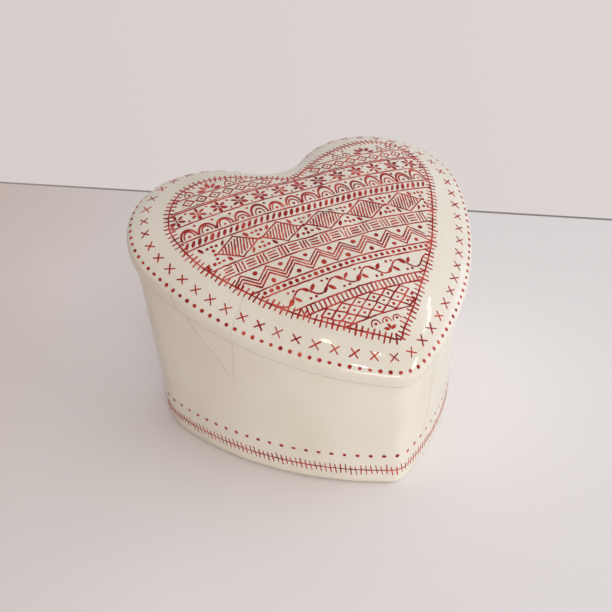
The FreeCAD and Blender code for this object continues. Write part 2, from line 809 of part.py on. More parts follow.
def build_spring_housing():
    """Pressed brass housing over the mainspring, on two legs screwed to the bedplate."""
    low = f"{BED_TOP} + housing_bottom"
    high = f"{BED_TOP} + housing_top"
    centre = {"x": "barrel_x", "y": "cylinder_y"}
    can = cylinder("housing_can", "housing_radius", "housing_top - housing_bottom", z=low, **centre)
    reach = "(housing_leg_radius + housing_leg_sheet)"
    x_low = "barrel_x - housing_leg_width / 2"
    x_high = "barrel_x + housing_leg_width / 2"
    parts = [can, block("housing_strap", x_low, x_high, f"cylinder_y - {reach}",
                        f"cylinder_y + {reach}", f"{high} - housing_sheet", high)]
    tools = [cylinder("housing_inside", "housing_radius - housing_sheet",
                      "housing_top - housing_bottom - housing_sheet", z=low, **centre),
             cylinder("housing_arbor_hole", "arbor_radius + running_gap", "4", z=f"{high} - 2", **centre)]
    toe = "(housing_leg_radius + housing_leg_sheet + housing_foot)"
    for name, outer, top in (("leg", reach, high), ("foot", toe, f"{BED_TOP} + housing_sheet")):
        parts.append(block(f"housing_{name}_front", x_low, x_high, f"cylinder_y - {outer}",
                           "cylinder_y - housing_leg_radius", BED_TOP, top))
        parts.append(block(f"housing_{name}_back", x_low, x_high, "cylinder_y + housing_leg_radius",
                           f"cylinder_y + {outer}", BED_TOP, top))
    for number, (x, y) in enumerate(HOUSING_SCREWS):
        tools.append(cylinder(f"housing_hole_{number}", "screw_shank + 0.1", "3", x, y, f"{BED_TOP} - 1"))
    return cut("spring_housing", fuse("housing_blank", parts), tools)


def build_mainspring():
    """Flat strip wound as half circles about two centres, its outer end against the housing."""
    size = DIMENSIONS
    step = size["spring_step"]
    strip = size["spring_strip"]
    last = size["housing_radius"] - size["housing_sheet"] - strip / 2
    first = last - step * SPRING_HALF_TURNS

    def side_edges(offset):
        edges = []
        for half in range(SPRING_HALF_TURNS):
            centre = Vector(step * (half % 2), 0, 0)
            circle = Part.Circle(centre, Vector(0, 0, 1), first + step * half + offset)
            begin = math.pi * (half % 2)
            edges.append(Part.ArcOfCircle(circle, begin, begin + math.pi).toShape())
        return edges

    outer = side_edges(strip / 2)
    inner = side_edges(-strip / 2)
    ends = [Part.makeLine(Vector(x - strip / 2, 0, 0), Vector(x + strip / 2, 0, 0)) for x in (first, last)]
    outline = Part.Wire(Part.__sortEdges__(outer + inner + ends))
    spring = doc.addObject("Part::Feature", "mainspring")
    spring.Label = "mainspring"
    spring.Shape = Part.Face(outline).extrude(Vector(0, 0, size["spring_height"]))
    place(spring, "barrel_x", "cylinder_y", f"{BED_TOP} + spring_bottom")
    return spring


def coil(name, radius, pitch, height, section):
    """A section swept along a right-handed helix."""
    helix = doc.addObject("Part::Helix", f"{name}_path")
    bind(helix, Radius=radius, Pitch=pitch, Height=height)
    sweep = doc.addObject("Part::Sweep", name)
    sweep.Sections = [section]
    sweep.Solid = True
    sweep.Frenet = True
    doc.recompute()
    sweep.Spine = (helix, [f"Edge{number + 1}" for number in range(len(helix.Shape.Edges))])
    return sweep


def build_clutch_spring():
    """Square wire wrapped on the great wheel's hub: it grips one way and slips while winding."""
    size = DIMENSIONS
    wire = size["clutch_wire"]
    inner = size["crown_hub_radius"] + size["seat_gap"]
    outer = inner + wire
    corners = [Vector(inner, 0, 0), Vector(outer, 0, 0), Vector(outer, 0, wire), Vector(inner, 0, wire)]
    section = doc.addObject("Part::Feature", "clutch_section")
    section.Shape = Part.makePolygon(corners + corners[:1])
    pitch = "(clutch_wire * 1.3)"
    spring = coil("clutch_spring", "crown_hub_radius", pitch, f"{pitch} * clutch_turns", section)
    spring.Label = "clutch_spring"
    place(spring, "barrel_x", "cylinder_y", f"{BED_TOP} + {CROWN_BOTTOM} + crown_disc + seat_gap")
    return spring


def build_winding_arbor():
    """Steel arbor from the key's hub up through the spring housing."""
    return cylinder("winding_arbor", "arbor_radius", f"{BED_TOP} + housing_top + arbor_end - arbor_bottom",
                    "barrel_x", "cylinder_y", "arbor_bottom")


def build_winding_key():
    """Butterfly key: two pierced wings on a hub that takes the arbor."""
    body = new_body("winding_key")
    wings = new_sketch(body, "wing_outline", "0", "XZ_Plane")
    add_rectangle(wings, "-key_span / 2", "key_span / 2", "key_bottom", "key_bottom + key_height")
    plate = pad(body, wings, "key_thickness", both_ways=True)
    round_edges(body, "wing_corners", plate, edges_where(plate.Shape, across), "key_corner")
    eyes = new_sketch(body, "wing_eyes", "-key_thickness", "XZ_Plane")
    for sign in ("-", ""):
        add_circle(eyes, "key_eye_radius", f"{sign}key_eye_x", "key_bottom + key_height / 2")
    pocket(body, eyes, "key_thickness * 2", upwards=True)
    hub = new_sketch(body, "key_hub", "key_bottom + key_hub_lift")
    add_circle(hub, "key_hub_radius")
    pad(body, hub, "key_hub_height")
    socket = new_sketch(body, "key_socket", "arbor_bottom")
    add_circle(socket, "arbor_radius + seat_gap")
    pocket(body, socket, "key_hub_height", upwards=True)
    place(body, "barrel_x", "cylinder_y")
    return body


def across(edge):
    """True for a straight edge that runs along Y."""
    return edge.BoundBox.YLength > 0.5 and edge.BoundBox.XLength + edge.BoundBox.ZLength < 0.01


# ---------------------------------------------------------------- cylinder and train


def build_pinned_cylinder():
    """Brass cylinder with a row of pins for each tooth of the comb."""
    length = "notes * note_pitch"
    drum = cylinder("cylinder_drum", "cylinder_radius", length)
    pins = []
    for note in range(DIMENSIONS["notes"]):
        for beat in range(PINS_PER_NOTE):
            angle = TUNE_STEP * note + 360 / PINS_PER_NOTE * beat + TUNE_SWING * ((note * beat) % 5)
            pin = doc.addObject("Part::Box", f"pin_{note}_{beat}")
            bind(pin, Length="pin_radius - cylinder_radius + pin_root", Width="pin_width",
                 Height="pin_width")
            turn = Rotation(Vector(0, 0, 1), angle)
            pin.Placement = Placement(Vector(0, 0, 0), turn)
            direction = turn.multVec(Vector(1, 0, 0))
            bind(pin, Placement__Base__x=f"(cylinder_radius - pin_root) * {direction.x:.6f}",
                 Placement__Base__y=f"(cylinder_radius - pin_root) * {direction.y:.6f}",
                 Placement__Base__z=f"{note + 0.5} * note_pitch - pin_width / 2")
            pins.append(pin)
    pinned = fuse("pinned_drum", [drum] + pins)
    bore = cylinder("cylinder_bore", "shaft_radius + seat_gap", f"{length} + 2", z="-1")
    item = cut("pinned_cylinder", pinned, [bore])
    return lay_along_x(item, "cylinder_start", "cylinder_y")


def build_bearing_bracket():
    """Steel bracket that carries the cylinder shaft's right end."""
    front = "cylinder_y - bearing_half"
    back = "cylinder_y + bearing_half"
    parts = [block("bracket_upright", "bracket_x", "bracket_x + bracket_sheet", front, back,
                   BED_TOP, f"{AXIS_Z} + bearing_half"),
             block("bracket_base", "bracket_x", "bracket_x + bracket_foot", front, back,
                   BED_TOP, f"{BED_TOP} + bracket_sheet")]
    bearing = cylinder("bracket_bearing", "shaft_radius + running_gap", "bracket_sheet * 3")
    x, y = BRACKET_SCREW
    tools = [lay_along_x(bearing, "bracket_x - bracket_sheet", "cylinder_y"),
             cylinder("bracket_hole", "screw_shank + 0.1", "bracket_sheet * 3", x, y,
                      f"{BED_TOP} - bracket_sheet")]
    return cut("bearing_bracket", fuse("bracket_blank", parts), tools)


def build_governor_frame():
    """Brass frame for the worm wheel's shaft and the upright worm shaft."""
    low = BED_TOP
    top = f"{low} + governor_top"
    parts = [
        block("frame_base", "governor_foot_left", "governor_foot_right",
              f"{WORM_Y} - governor_foot_front", f"{WORM_Y} + governor_foot_back",
              low, f"{low} + governor_foot_sheet"),
        block("frame_post", "post_x", "post_x + post_thickness",
              f"{WORM_Y} - post_half", f"{WORM_Y} + post_half", low, top),
        block("frame_arm", "post_x", "arm_end", f"{WORM_Y} - arm_half", f"{WORM_Y} + arm_half",
              f"{top} - arm_sheet", top),
    ]
    for side in ("left", "right"):
        parts.append(block(f"frame_cheek_{side}", f"cheek_{side}", f"cheek_{side} + cheek_sheet",
                           f"{GOVERNOR_Y} - cheek_front", f"{GOVERNOR_Y} + cheek_back",
                           low, f"{low} + cheek_height"))
    bearing = cylinder("frame_bearing", "pivot_radius + running_gap", "cheek_right + 2 - cheek_left")
    x, y = GOVERNOR_SCREW
    tools = [
        lay_along_x(bearing, "cheek_left - 1", GOVERNOR_Y),
        cylinder("frame_pivot_holes", "pivot_radius + running_gap", "governor_top + 2",
                 "worm_wheel_x", WORM_Y, f"{low} - 1"),
        cylinder("frame_hole", "screw_shank + 0.1", "governor_foot_sheet + 2", x, y, f"{low} - 1"),
    ]
    return cut("governor_frame", fuse("frame_blank", parts), tools)


def build_worm_shaft():
    """Steel shaft with the right-handed worm that the worm wheel drives."""
    lead = "(2 * pi * worm_wheel_radius / worm_teeth)"
    section = doc.addObject("Part::Feature", "worm_section")
    section.Shape = worm_profile()
    thread = coil("worm_thread", "worm_radius", lead, f"{lead} * {WORM_TURNS}", section)
    place(thread, z=f"axis_lift - {lead} * {WORM_TURNS / 2}")
    core = cylinder("worm_core", f"worm_radius - {WORM_DEPTH}", f"{lead} * {WORM_TURNS + 0.5}",
                    z=f"axis_lift - {lead} * {(WORM_TURNS + 0.5) / 2}")
    shaft = cylinder("worm_pivots", "pivot_radius", "governor_top - 0.4", z="0.1")
    item = fuse("worm_shaft", [thread, core, shaft])
    place(item, "worm_wheel_x", WORM_Y, BED_TOP)
    return item


def worm_profile():
    """The thread's section in the XZ plane: straight flanks that narrow outwards."""
    size = DIMENSIONS
    lead = 2 * math.pi * size["worm_wheel_radius"] / size["worm_teeth"]
    half = lead * WORM_SHARE / 2
    inner = size["worm_radius"] - WORM_DEPTH - 0.15
    outer = size["worm_radius"] + WORM_HEIGHT
    root = half + (WORM_DEPTH + 0.15) * FLANK
    crest = half - WORM_HEIGHT * FLANK
    corners = [Vector(inner, 0, -root), Vector(outer, 0, -crest)]
    corners += [Vector(outer, 0, crest), Vector(inner, 0, root)]
    return Part.makePolygon(corners + corners[:1])


def build_fly():
    """Air brake: two thin wings on a hub pressed on the worm shaft."""
    hub = cylinder("fly_hub", "fly_hub_radius", "fly_height + fly_collar", z="fly_bottom - fly_collar")
    wings = block("fly_wings", "-fly_radius", "fly_radius", "-fly_sheet / 2", "fly_sheet / 2",
                  "fly_bottom", "fly_bottom + fly_height")
    bore = cylinder("fly_bore", "pivot_radius + seat_gap", "fly_height + 4", z="fly_bottom - 2")
    item = cut("fly", fuse("fly_blank", [hub, wings]), [bore])
    place(item, "worm_wheel_x", WORM_Y, BED_TOP)
    return item


def build_stop_lever():
    """Steel lever: its back arm reaches the fly's hub, its tab comes out through the cover."""
    body = new_body("stop_lever")
    outline = new_sketch(body, "lever_hub")
    add_circle(outline, "lever_width")
    pad(body, outline, "lever_sheet")
    for name, angle in (("back_arm", LEVER_REST), ("front_arm", LEVER_FRONT)):
        arm = new_sketch(body, name)
        arm.AttachmentOffset = Placement(Vector(0, 0, 0), Rotation(Vector(0, 0, 1), 1))
        bind(arm, AttachmentOffset__Rotation__Angle=angle)
        add_rectangle(arm, "0", f"lever_{name}", "-lever_width / 2", "lever_width / 2")
        pad(body, arm, "lever_sheet")
    tab = new_sketch(body, "lever_tab")
    add_rectangle(tab, "lever_tab_start - lever_x", "lever_reach - lever_x",
                  "lever_tab_y - lever_y - lever_width / 2", "lever_tab_y - lever_y + lever_width / 2")
    pad(body, tab, "lever_sheet")
    pivot = new_sketch(body, "lever_pivot")
    add_circle(pivot, "lever_pin_radius + running_gap")
    pocket(body, pivot, "lever_sheet + 1", upwards=True)
    place(body, "lever_x", "lever_y", f"{BED_TOP} + lever_lift")
    return body


def build_lever_post():
    """Brass post under the stop lever, tapped for its shoulder screw."""
    post = cylinder("lever_post_rod", "lever_post_radius", "lever_lift - running_gap",
                    "lever_x", "lever_y", BED_TOP)
    tap = cylinder("lever_post_tap", "lever_pin_radius + seat_gap", "lever_tap + 1", "lever_x",
                   "lever_y", f"{BED_TOP} + lever_lift - lever_tap")
    return cut("lever_post", post, [tap])


def slotted_screw(name, shank, head, head_height, length, x, y, z, upside_down=False):
    """A cheese-head screw: z is the level under its head."""
    stem = cylinder(f"{name}_shank", shank, length, z=f"-({length})")
    crown = cylinder(f"{name}_head", head, head_height)
    slot = block(f"{name}_slot", f"-({head}) - 1", f"({head}) + 1", "-slot_width / 2", "slot_width / 2",
                 f"({head_height}) * 0.6", f"({head_height}) + 1")
    item = cut(name, fuse(f"{name}_blank", [stem, crown]), [slot])
    if upside_down:
        place(item, x, y, z, Vector(1, 0, 0), "180")
    else:
        place(item, x, y, z)
    return item


def build_screws():
    """The screws and washers, identical ones together."""
    level_z = "recess_depth - washer_thickness"
    from_below = []
    washers = []
    for number, (x, y) in enumerate(MOUNT_SCREWS):
        from_below.append(slotted_screw(f"mounting_screw_{number}", "mount_shank", "mount_head",
                                        "mount_head_height", "mount_length", x, y, level_z,
                                        upside_down=True))
        disc = cylinder(f"washer_disc_{number}", "washer_radius", "washer_thickness", x, y, level_z)
        hole = cylinder(f"washer_hole_{number}", "mount_shank + 0.1", "washer_thickness + 2", x, y,
                        f"{level_z} - 1")
        washers.append(cut(f"washer_{number}", disc, [hole]))
    seats = [(x, y, AXIS_Z) for x, y in COMB_SCREWS]
    seats += [(x, y, f"{BED_TOP} + housing_sheet") for x, y in HOUSING_SCREWS]
    seats.append(BRACKET_SCREW + (f"{BED_TOP} + bracket_sheet",))
    seats.append(GOVERNOR_SCREW + (f"{BED_TOP} + governor_foot_sheet",))
    small = [slotted_screw(f"movement_screw_{number}", "screw_shank", "screw_head", "screw_head_height",
                           "screw_length", x, y, z) for number, (x, y, z) in enumerate(seats)]
    lever = slotted_screw("lever_screw", "lever_pin_radius", "screw_head", "screw_head_height",
                          "screw_length + lever_sheet", "lever_x", "lever_y",
                          f"{BED_TOP} + lever_lift + lever_sheet + running_gap")
    return [group("mounting_screws", from_below), group("mounting_washers", washers),
            group("movement_screws", small), lever]


def build_all():
    """Every named piece of the music box."""
    pieces = [build_base_shell(), build_lid_shell(), build_felt_liner(), build_bedplate(),
              build_comb(), build_bass_weights(), build_dust_cover(), build_great_wheel(),
              build_spring_housing(), build_mainspring(), build_clutch_spring(),
              build_winding_arbor(), build_winding_key(), build_pinned_cylinder()]
    bore = "shaft_radius + seat_gap"
    pinion = toothed_wheel("cylinder_pinion", "pinion_teeth", f"({PINION_RADIUS})", "crown_face", bore)
    pieces.append(lay_along_x(pinion, "barrel_x + crown_radius - crown_face / 2", "cylinder_y"))
    wheel = toothed_wheel("cylinder_wheel", "wheel_teeth", "wheel_radius", "wheel_face", bore)
    pieces.append(lay_along_x(wheel, "wheel_x - wheel_face / 2", "cylinder_y"))
    shaft = cylinder("cylinder_shaft", "shaft_radius", "shaft_end - shaft_start")
    pieces.append(lay_along_x(shaft, "shaft_start", "cylinder_y"))

    bore = "pivot_radius + seat_gap"
    driven = toothed_wheel("governor_pinion", "governor_teeth", f"({GOVERNOR_RADIUS})", "wheel_face", bore,
                           "180 / governor_teeth")
    pieces.append(lay_along_x(driven, "wheel_x - wheel_face / 2", GOVERNOR_Y))
    worm_wheel = toothed_wheel("worm_wheel", "worm_teeth", "worm_wheel_radius", "worm_wheel_face", bore)
    pieces.append(lay_along_x(worm_wheel, "worm_wheel_x - worm_wheel_face / 2", GOVERNOR_Y))
    axle = cylinder("governor_shaft", "pivot_radius", "cheek_right + cheek_sheet - cheek_left")
    pieces.append(lay_along_x(axle, "cheek_left", GOVERNOR_Y))

    pieces += [build_bearing_bracket(), build_governor_frame(), build_worm_shaft(), build_fly()]
    pieces.append(cylinder("endstone_cap", "endstone_radius", "endstone_height", "worm_wheel_x",
                           WORM_Y, f"{BED_TOP} + governor_top"))
    pieces += [build_stop_lever(), build_lever_post()]
    return pieces + build_screws()


def check_and_export(pieces):
    """Every object must be sound; each piece is written as one STEP file."""
    doc.recompute()
    for item in doc.Objects:
        if "Invalid" in item.State or "Error" in item.State:
            raise RuntimeError(f"{item.Name} is not sound: {item.State}")
    os.makedirs("parts", exist_ok=True)
    for piece in pieces:
        if piece.Shape.isNull() or not piece.Shape.isValid():
            raise RuntimeError(f"{piece.Label} has no valid shape")
        piece.Shape.exportStep(f"parts/{piece.Label}.step")


write_sheet()
check_and_export(build_all())
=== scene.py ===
import json
import math
import random

import bpy
from mathutils import Matrix, Vector
from mathutils.bvhtree import BVHTree

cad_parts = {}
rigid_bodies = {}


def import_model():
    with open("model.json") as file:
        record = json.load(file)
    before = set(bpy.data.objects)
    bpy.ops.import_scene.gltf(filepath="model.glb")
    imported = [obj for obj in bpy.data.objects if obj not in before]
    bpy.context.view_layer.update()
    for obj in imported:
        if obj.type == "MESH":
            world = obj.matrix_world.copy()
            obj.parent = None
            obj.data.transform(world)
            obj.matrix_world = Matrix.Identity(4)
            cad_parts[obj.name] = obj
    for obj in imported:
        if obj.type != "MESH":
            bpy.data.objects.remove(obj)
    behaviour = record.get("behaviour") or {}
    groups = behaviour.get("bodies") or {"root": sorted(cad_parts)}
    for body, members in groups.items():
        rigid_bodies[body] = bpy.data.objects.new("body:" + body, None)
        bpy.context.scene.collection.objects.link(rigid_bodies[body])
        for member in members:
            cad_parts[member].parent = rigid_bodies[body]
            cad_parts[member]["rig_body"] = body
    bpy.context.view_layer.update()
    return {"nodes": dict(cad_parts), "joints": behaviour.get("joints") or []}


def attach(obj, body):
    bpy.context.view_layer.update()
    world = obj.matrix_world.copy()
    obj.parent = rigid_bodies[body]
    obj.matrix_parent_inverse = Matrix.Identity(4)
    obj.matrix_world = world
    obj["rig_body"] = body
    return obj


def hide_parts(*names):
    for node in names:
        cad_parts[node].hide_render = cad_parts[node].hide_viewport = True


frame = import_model()


# ---------------------------------------------------------------- base
# The box itself: a heart slip-cast in earthenware, open at the top along a sloping rim, with a
# raised floor over the recess for the key. It is dipped in warm white glaze, and only the foot
# ring, which stood on the kiln shelf, and the wiped rim stay bare.

MM = 0.001
WELD_WITHIN = 0.002 * MM
HEART_MIDDLE = 8 * MM
BASE_SHARP_DEGREES = 40
GLAZE_THIN = "EEE9DD"
GLAZE_POOLED = "E4DDCB"
POOL_SIZE = 35 * MM
RIPPLE_SIZE = 11 * MM
RIPPLE_DEPTH = 0.6 * MM
CRAZE_LINE = "B9AD9D"
CRAZE_SPACING = 30 * MM
CRAZE_WIDTH = 0.24 * MM
CRAZE_STRENGTH = 0.45
CRAZE_WANDER = 20 * MM
CRAZE_WANDER_SHARE = 0.005
CRAZE_PATCH = 45 * MM
BISCUIT = "D8C7AB"
# Painted shade: a dark grey-brown for the seam between lid and base.
SEAM_SHADE_COLOUR = "6A6054"
GLAZE_STARTS_UP_FOOT = (0.2 * MM, 0.6 * MM)
GLAZE_STARTS_OFF_RIM = (0.2 * MM, 0.5 * MM)
SEAM_SHADE_STARTS_OFF_RIM = (0.05 * MM, 0.15 * MM)
UP_FROM_LID = Vector(next(joint["axis"] for joint in frame["joints"] if joint["name"] == "lid_lift"))
RIM_LEVEL = max(vertex.co.dot(UP_FROM_LID) for vertex in frame["nodes"]["base_shell"].data.vertices)


def linear(hex_colour):
    """An sRGB hex colour as the linear values that the shaders use."""
    channels = [int(hex_colour[at:at + 2], 16) / 255 for at in (0, 2, 4)]
    return [c / 12.92 if c <= 0.04045 else ((c + 0.055) / 1.055) ** 2.4 for c in channels] + [1.0]


def new_material(name):
    """A material with no nodes yet."""
    material = bpy.data.materials.new(name)
    material.use_nodes = True
    material.node_tree.nodes.clear()
    return material


def add_node(material, kind, links=(), values=(), **settings):
    """Adds a node with its settings; links are (input, node, output) and values (input, value)."""
    node = material.node_tree.nodes.new(kind)
    for key, value in settings.items():
        setattr(node, key, value)
    for socket, value in values:
        node.inputs[socket].default_value = value
    for socket, source, output in links:
        material.node_tree.links.new(source.outputs[output], node.inputs[socket])
    return node


def add_ramp(material, source, output, stops):
    """A colour ramp after a node; stops are (position, hex colour)."""
    ramp = add_node(material, "ShaderNodeValToRGB", [("Fac", source, output)])
    elements = ramp.color_ramp.elements
    while len(elements) < len(stops):
        elements.new(0.5)
    for element, (position, colour) in zip(elements, stops):
        element.position = position
        element.color = linear(colour)
    return ramp


def pick_only(*objects):
    """Deselects everything else and makes the last object active."""
    bpy.ops.object.select_all(action="DESELECT")
    for item in objects:
        item.select_set(True)
    bpy.context.view_layer.objects.active = objects[-1]


def welded_copy(node, name, sharp_degrees):
    """The solid's own surface as one welded skin, shaded smooth up to an angle."""
    piece = bpy.data.objects.new(name, frame["nodes"][node].data.copy())
    bpy.context.scene.collection.objects.link(piece)
    pick_only(piece)
    bpy.ops.mesh.customdata_custom_splitnormals_clear()
    bpy.ops.object.mode_set(mode="EDIT")
    bpy.ops.mesh.select_all(action="SELECT")
    bpy.ops.mesh.remove_doubles(threshold=WELD_WITHIN)
    bpy.ops.object.mode_set(mode="OBJECT")
    bpy.ops.object.shade_smooth_by_angle(angle=math.radians(sharp_degrees))
    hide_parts(node)
    return piece


def dress(piece, material, body):
    """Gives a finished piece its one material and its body."""
    piece.data.materials.clear()
    piece.data.materials.append(material)
    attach(piece, body)


def glazed_earthenware():
    """Glazed earthenware, dipped: glossy, faintly wavy, pooled a little darker here and there.

    Fine craze lines run mostly upright through it in patches, about 30 mm apart and drawn wide
    enough to show. The foot ring is biscuit, and so is the rim where lid and base meet, which is
    wiped before firing. A dark grey-brown band along the rim's edges is painted shade for the
    seam between lid and base.
    """
    material = new_material("glazed_earthenware")
    place = add_node(material, "ShaderNodeTexCoord")
    pooling = add_node(material, "ShaderNodeTexNoise", [("Vector", place, "Object")],
                       [("Scale", 1 / POOL_SIZE), ("Detail", 2.0), ("Roughness", 0.5)])
    body = add_ramp(material, pooling, "Fac", [(0.35, GLAZE_THIN), (0.7, GLAZE_POOLED)])

    wander = add_node(material, "ShaderNodeTexNoise", [("Vector", place, "Object")],
                      [("Scale", 1 / CRAZE_WANDER), ("Detail", 3.0)])
    upright = add_node(material, "ShaderNodeMapping", [("Vector", place, "Object")],
                       [("Scale", (1.0, 1.0, 0.3))])
    bent = add_node(material, "ShaderNodeMix", [("A", upright, "Vector"), ("B", wander, "Color")],
                    [("Factor", CRAZE_WANDER_SHARE)], data_type="VECTOR")
    cells = add_node(material, "ShaderNodeTexVoronoi", [("Vector", bent, "Result")],
                     [("Scale", 1 / CRAZE_SPACING), ("Randomness", 1.0)], feature="DISTANCE_TO_EDGE")
    crack = add_node(material, "ShaderNodeMapRange", [("Value", cells, "Distance")],
                     [("From Max", CRAZE_WIDTH / CRAZE_SPACING), ("To Min", CRAZE_STRENGTH),
                      ("To Max", 0.0)])
    patch = add_node(material, "ShaderNodeTexNoise", [("Vector", place, "Object")],
                     [("Scale", 1 / CRAZE_PATCH), ("Detail", 1.0)])
    patches = add_node(material, "ShaderNodeMapRange", [("Value", patch, "Fac")],
                       [("From Min", 0.47), ("From Max", 0.57)])
    faint = add_node(material, "ShaderNodeMath", [(0, crack, "Result"), (1, patches, "Result")],
                     operation="MULTIPLY")
    crazed = add_node(material, "ShaderNodeMix", [("Factor", faint, "Value"), ("A", body, "Color")],
                      [("B", linear(CRAZE_LINE))], data_type="RGBA")

    height = add_node(material, "ShaderNodeSeparateXYZ", [("Vector", place, "Object")])
    bare, glazed = GLAZE_STARTS_UP_FOOT
    dry = add_node(material, "ShaderNodeMapRange", [("Value", height, "Z")],
                   [("From Min", bare), ("From Max", glazed), ("To Min", 1.0), ("To Max", 0.0)])
    footed = add_node(material, "ShaderNodeMix", [("Factor", dry, "Result"), ("A", crazed, "Result")],
                      [("B", linear(BISCUIT))], data_type="RGBA")
    level = add_node(material, "ShaderNodeVectorMath", [(0, place, "Object")],
                     [(1, UP_FROM_LID)], operation="DOT_PRODUCT")
    offset = add_node(material, "ShaderNodeMath", [(0, level, "Value")], [(1, RIM_LEVEL)],
                      operation="SUBTRACT")
    from_rim = add_node(material, "ShaderNodeMath", [(0, offset, "Value")], operation="ABSOLUTE")
    bare, glazed = GLAZE_STARTS_OFF_RIM
    wiped = add_node(material, "ShaderNodeMapRange", [("Value", from_rim, "Value")],
                     [("From Min", bare), ("From Max", glazed), ("To Min", 1.0), ("To Max", 0.0)])
    # Painted shade: a thin dark band along the rim's edges stands for the shade in the seam between lid
    # and base.
    unshaded_within, grey = SEAM_SHADE_STARTS_OFF_RIM
    seam_shading = add_node(material, "ShaderNodeMapRange", [("Value", from_rim, "Value")],
                     [("From Min", unshaded_within), ("From Max", grey)])
    rim = add_ramp(material, seam_shading, "Result", [(0.0, BISCUIT), (1.0, SEAM_SHADE_COLOUR)])
    colour = add_node(material, "ShaderNodeMix",
                      [("Factor", wiped, "Result"), ("A", footed, "Result"), ("B", rim, "Color")],
                      data_type="RGBA")
    biscuit = add_node(material, "ShaderNodeMath", [(0, dry, "Result"), (1, wiped, "Result")],
                       operation="MAXIMUM")
    roughness = add_node(material, "ShaderNodeMapRange", [("Value", biscuit, "Value")],
                         [("To Min", 0.07), ("To Max", 0.85)])
    ripple = add_node(material, "ShaderNodeTexNoise", [("Vector", place, "Object")],
                      [("Scale", 1 / RIPPLE_SIZE), ("Detail", 1.0)])
    waves = add_node(material, "ShaderNodeBump", [("Height", ripple, "Fac")],
                     [("Strength", 0.12), ("Distance", RIPPLE_DEPTH)])
    shader = add_node(material, "ShaderNodeBsdfPrincipled",
                      [("Base Color", colour, "Result"), ("Roughness", roughness, "Result"),
                       ("Normal", waves, "Normal")], [("IOR", 1.52)])
    add_node(material, "ShaderNodeOutputMaterial", [("Surface", shader, "BSDF")])
    return material


glaze = glazed_earthenware()
base = welded_copy("base_shell", "glazed_base", BASE_SHARP_DEGREES)
dress(base, glaze, "base")


# ---------------------------------------------------------------- base ornament
# Painted by hand under the glaze in iron red: a line with short stitches across it round the
# foot, and a row of dots above it. Each mark is one touch of a pen or a brush.

FOOT_LINE_HEIGHT = 7.25 * MM
FOOT_LINE_PITCH = 2.2 * MM
FOOT_LINE_STROKE = (2.6 * MM, 0.4 * MM)
FOOT_STITCH_PITCH = 1.65 * MM
FOOT_STITCH_STROKE = (4.1 * MM, 0.36 * MM)
FOOT_STITCH_SLANT = 0.12
FOOT_DOT_HEIGHT = 13.6 * MM
FOOT_DOT_PITCH = 4.2 * MM
FOOT_DOT_SIZE = (1.35 * MM, 1.2 * MM)
RED_THICK = "86080A"
RED_MIDDLE = "A81715"
RED_THIN = "C74E42"
BRUSH_LOAD_SIZE = 4.5 * MM
WELL_OUTSIDE = 100 * MM
COAT_PROUD = 0.05 * MM
COAT_THICKNESS = 0.1 * MM
COAT_SHARP_DEGREES = 30
STRAY_DEGREES = 3.0
STRAY_LENGTH = (0.9, 1.1)
STRAY_WIDTH = (0.8, 1.25)
STRAY_STITCH = 0.25 * MM
hand = random.Random(11)


def underglaze_red():
    """Iron-red underglaze under the clear coat: as glossy as the glaze, paler where it is thin."""
    material = new_material("iron_red_underglaze")
    place = add_node(material, "ShaderNodeTexCoord")
    load = add_node(material, "ShaderNodeTexNoise", [("Vector", place, "Object")],
                    [("Scale", 1 / BRUSH_LOAD_SIZE), ("Detail", 3.0), ("Roughness", 0.6)])
    colour = add_ramp(material, load, "Fac", [(0.38, RED_THICK), (0.49, RED_MIDDLE), (0.62, RED_THIN)])
    shader = add_node(material, "ShaderNodeBsdfPrincipled", [("Base Color", colour, "Color")],
                      [("Roughness", 0.12), ("IOR", 1.42)])
    add_node(material, "ShaderNodeOutputMaterial", [("Surface", shader, "BSDF")])
    return material


def pick_vertices(piece, test):
    """Goes into edit mode with the vertices selected that pass a test."""
    pick_only(piece)
    bpy.ops.object.mode_set(mode="EDIT")
    bpy.ops.mesh.select_mode(type="VERT")
    bpy.ops.mesh.select_all(action="DESELECT")
    bpy.ops.object.mode_set(mode="OBJECT")
    for vertex in piece.data.vertices:
        vertex.select = test(vertex)
    bpy.ops.object.mode_set(mode="EDIT")


def pen_stroke():
    """One short stroke, a unit long and wide, narrowed at both ends where the pen lands and lifts."""
    bpy.ops.mesh.primitive_grid_add(x_subdivisions=5, y_subdivisions=1, size=1)
    stroke = bpy.context.object
    for inner, outer, along, across in ((0.45, 0.55, 1.0, 0.45), (0.25, 0.35, 1.45, 1.0)):
        pick_vertices(stroke, lambda vertex: inner < abs(vertex.co.x) < outer)
        bpy.ops.transform.resize(value=(along, across, 1), center_override=(0, 0, 0))
        bpy.ops.object.mode_set(mode="OBJECT")
    return stroke


def brush_dot():
    """A round touch of the brush, one unit across."""
    bpy.ops.mesh.primitive_circle_add(vertices=12, radius=0.5, fill_type="TRIFAN")
    return bpy.context.object


def brush_leaf():
    """A pressed brush mark: round in the middle and pointed at both ends."""
    bpy.ops.mesh.primitive_circle_add(vertices=12, radius=0.5, fill_type="TRIFAN")
    leaf = bpy.context.object
    pick_vertices(leaf, lambda vertex: 0.4 < abs(vertex.co.x) < 0.45)
    bpy.ops.transform.resize(value=(0.86, 0.7, 1), center_override=(0, 0, 0))
    bpy.ops.object.mode_set(mode="OBJECT")
    return leaf


def brush_arch():
    """Half a ring of radius one half, drawn with a fine pen."""
    bpy.ops.mesh.primitive_circle_add(vertices=20, radius=0.5, fill_type="NOTHING")
    arch = bpy.context.object
    pick_vertices(arch, lambda vertex: vertex.co.y < -0.01)
    bpy.ops.mesh.delete(type="VERT")
    bpy.ops.mesh.select_all(action="SELECT")
    bpy.ops.mesh.extrude_edges_move()
    bpy.ops.transform.resize(value=(0.78, 0.78, 1), center_override=(0, 0, 0))
    bpy.ops.object.mode_set(mode="OBJECT")
    return arch


masters = {"stroke": pen_stroke(), "dot": brush_dot(), "leaf": brush_leaf(), "arch": brush_arch()}


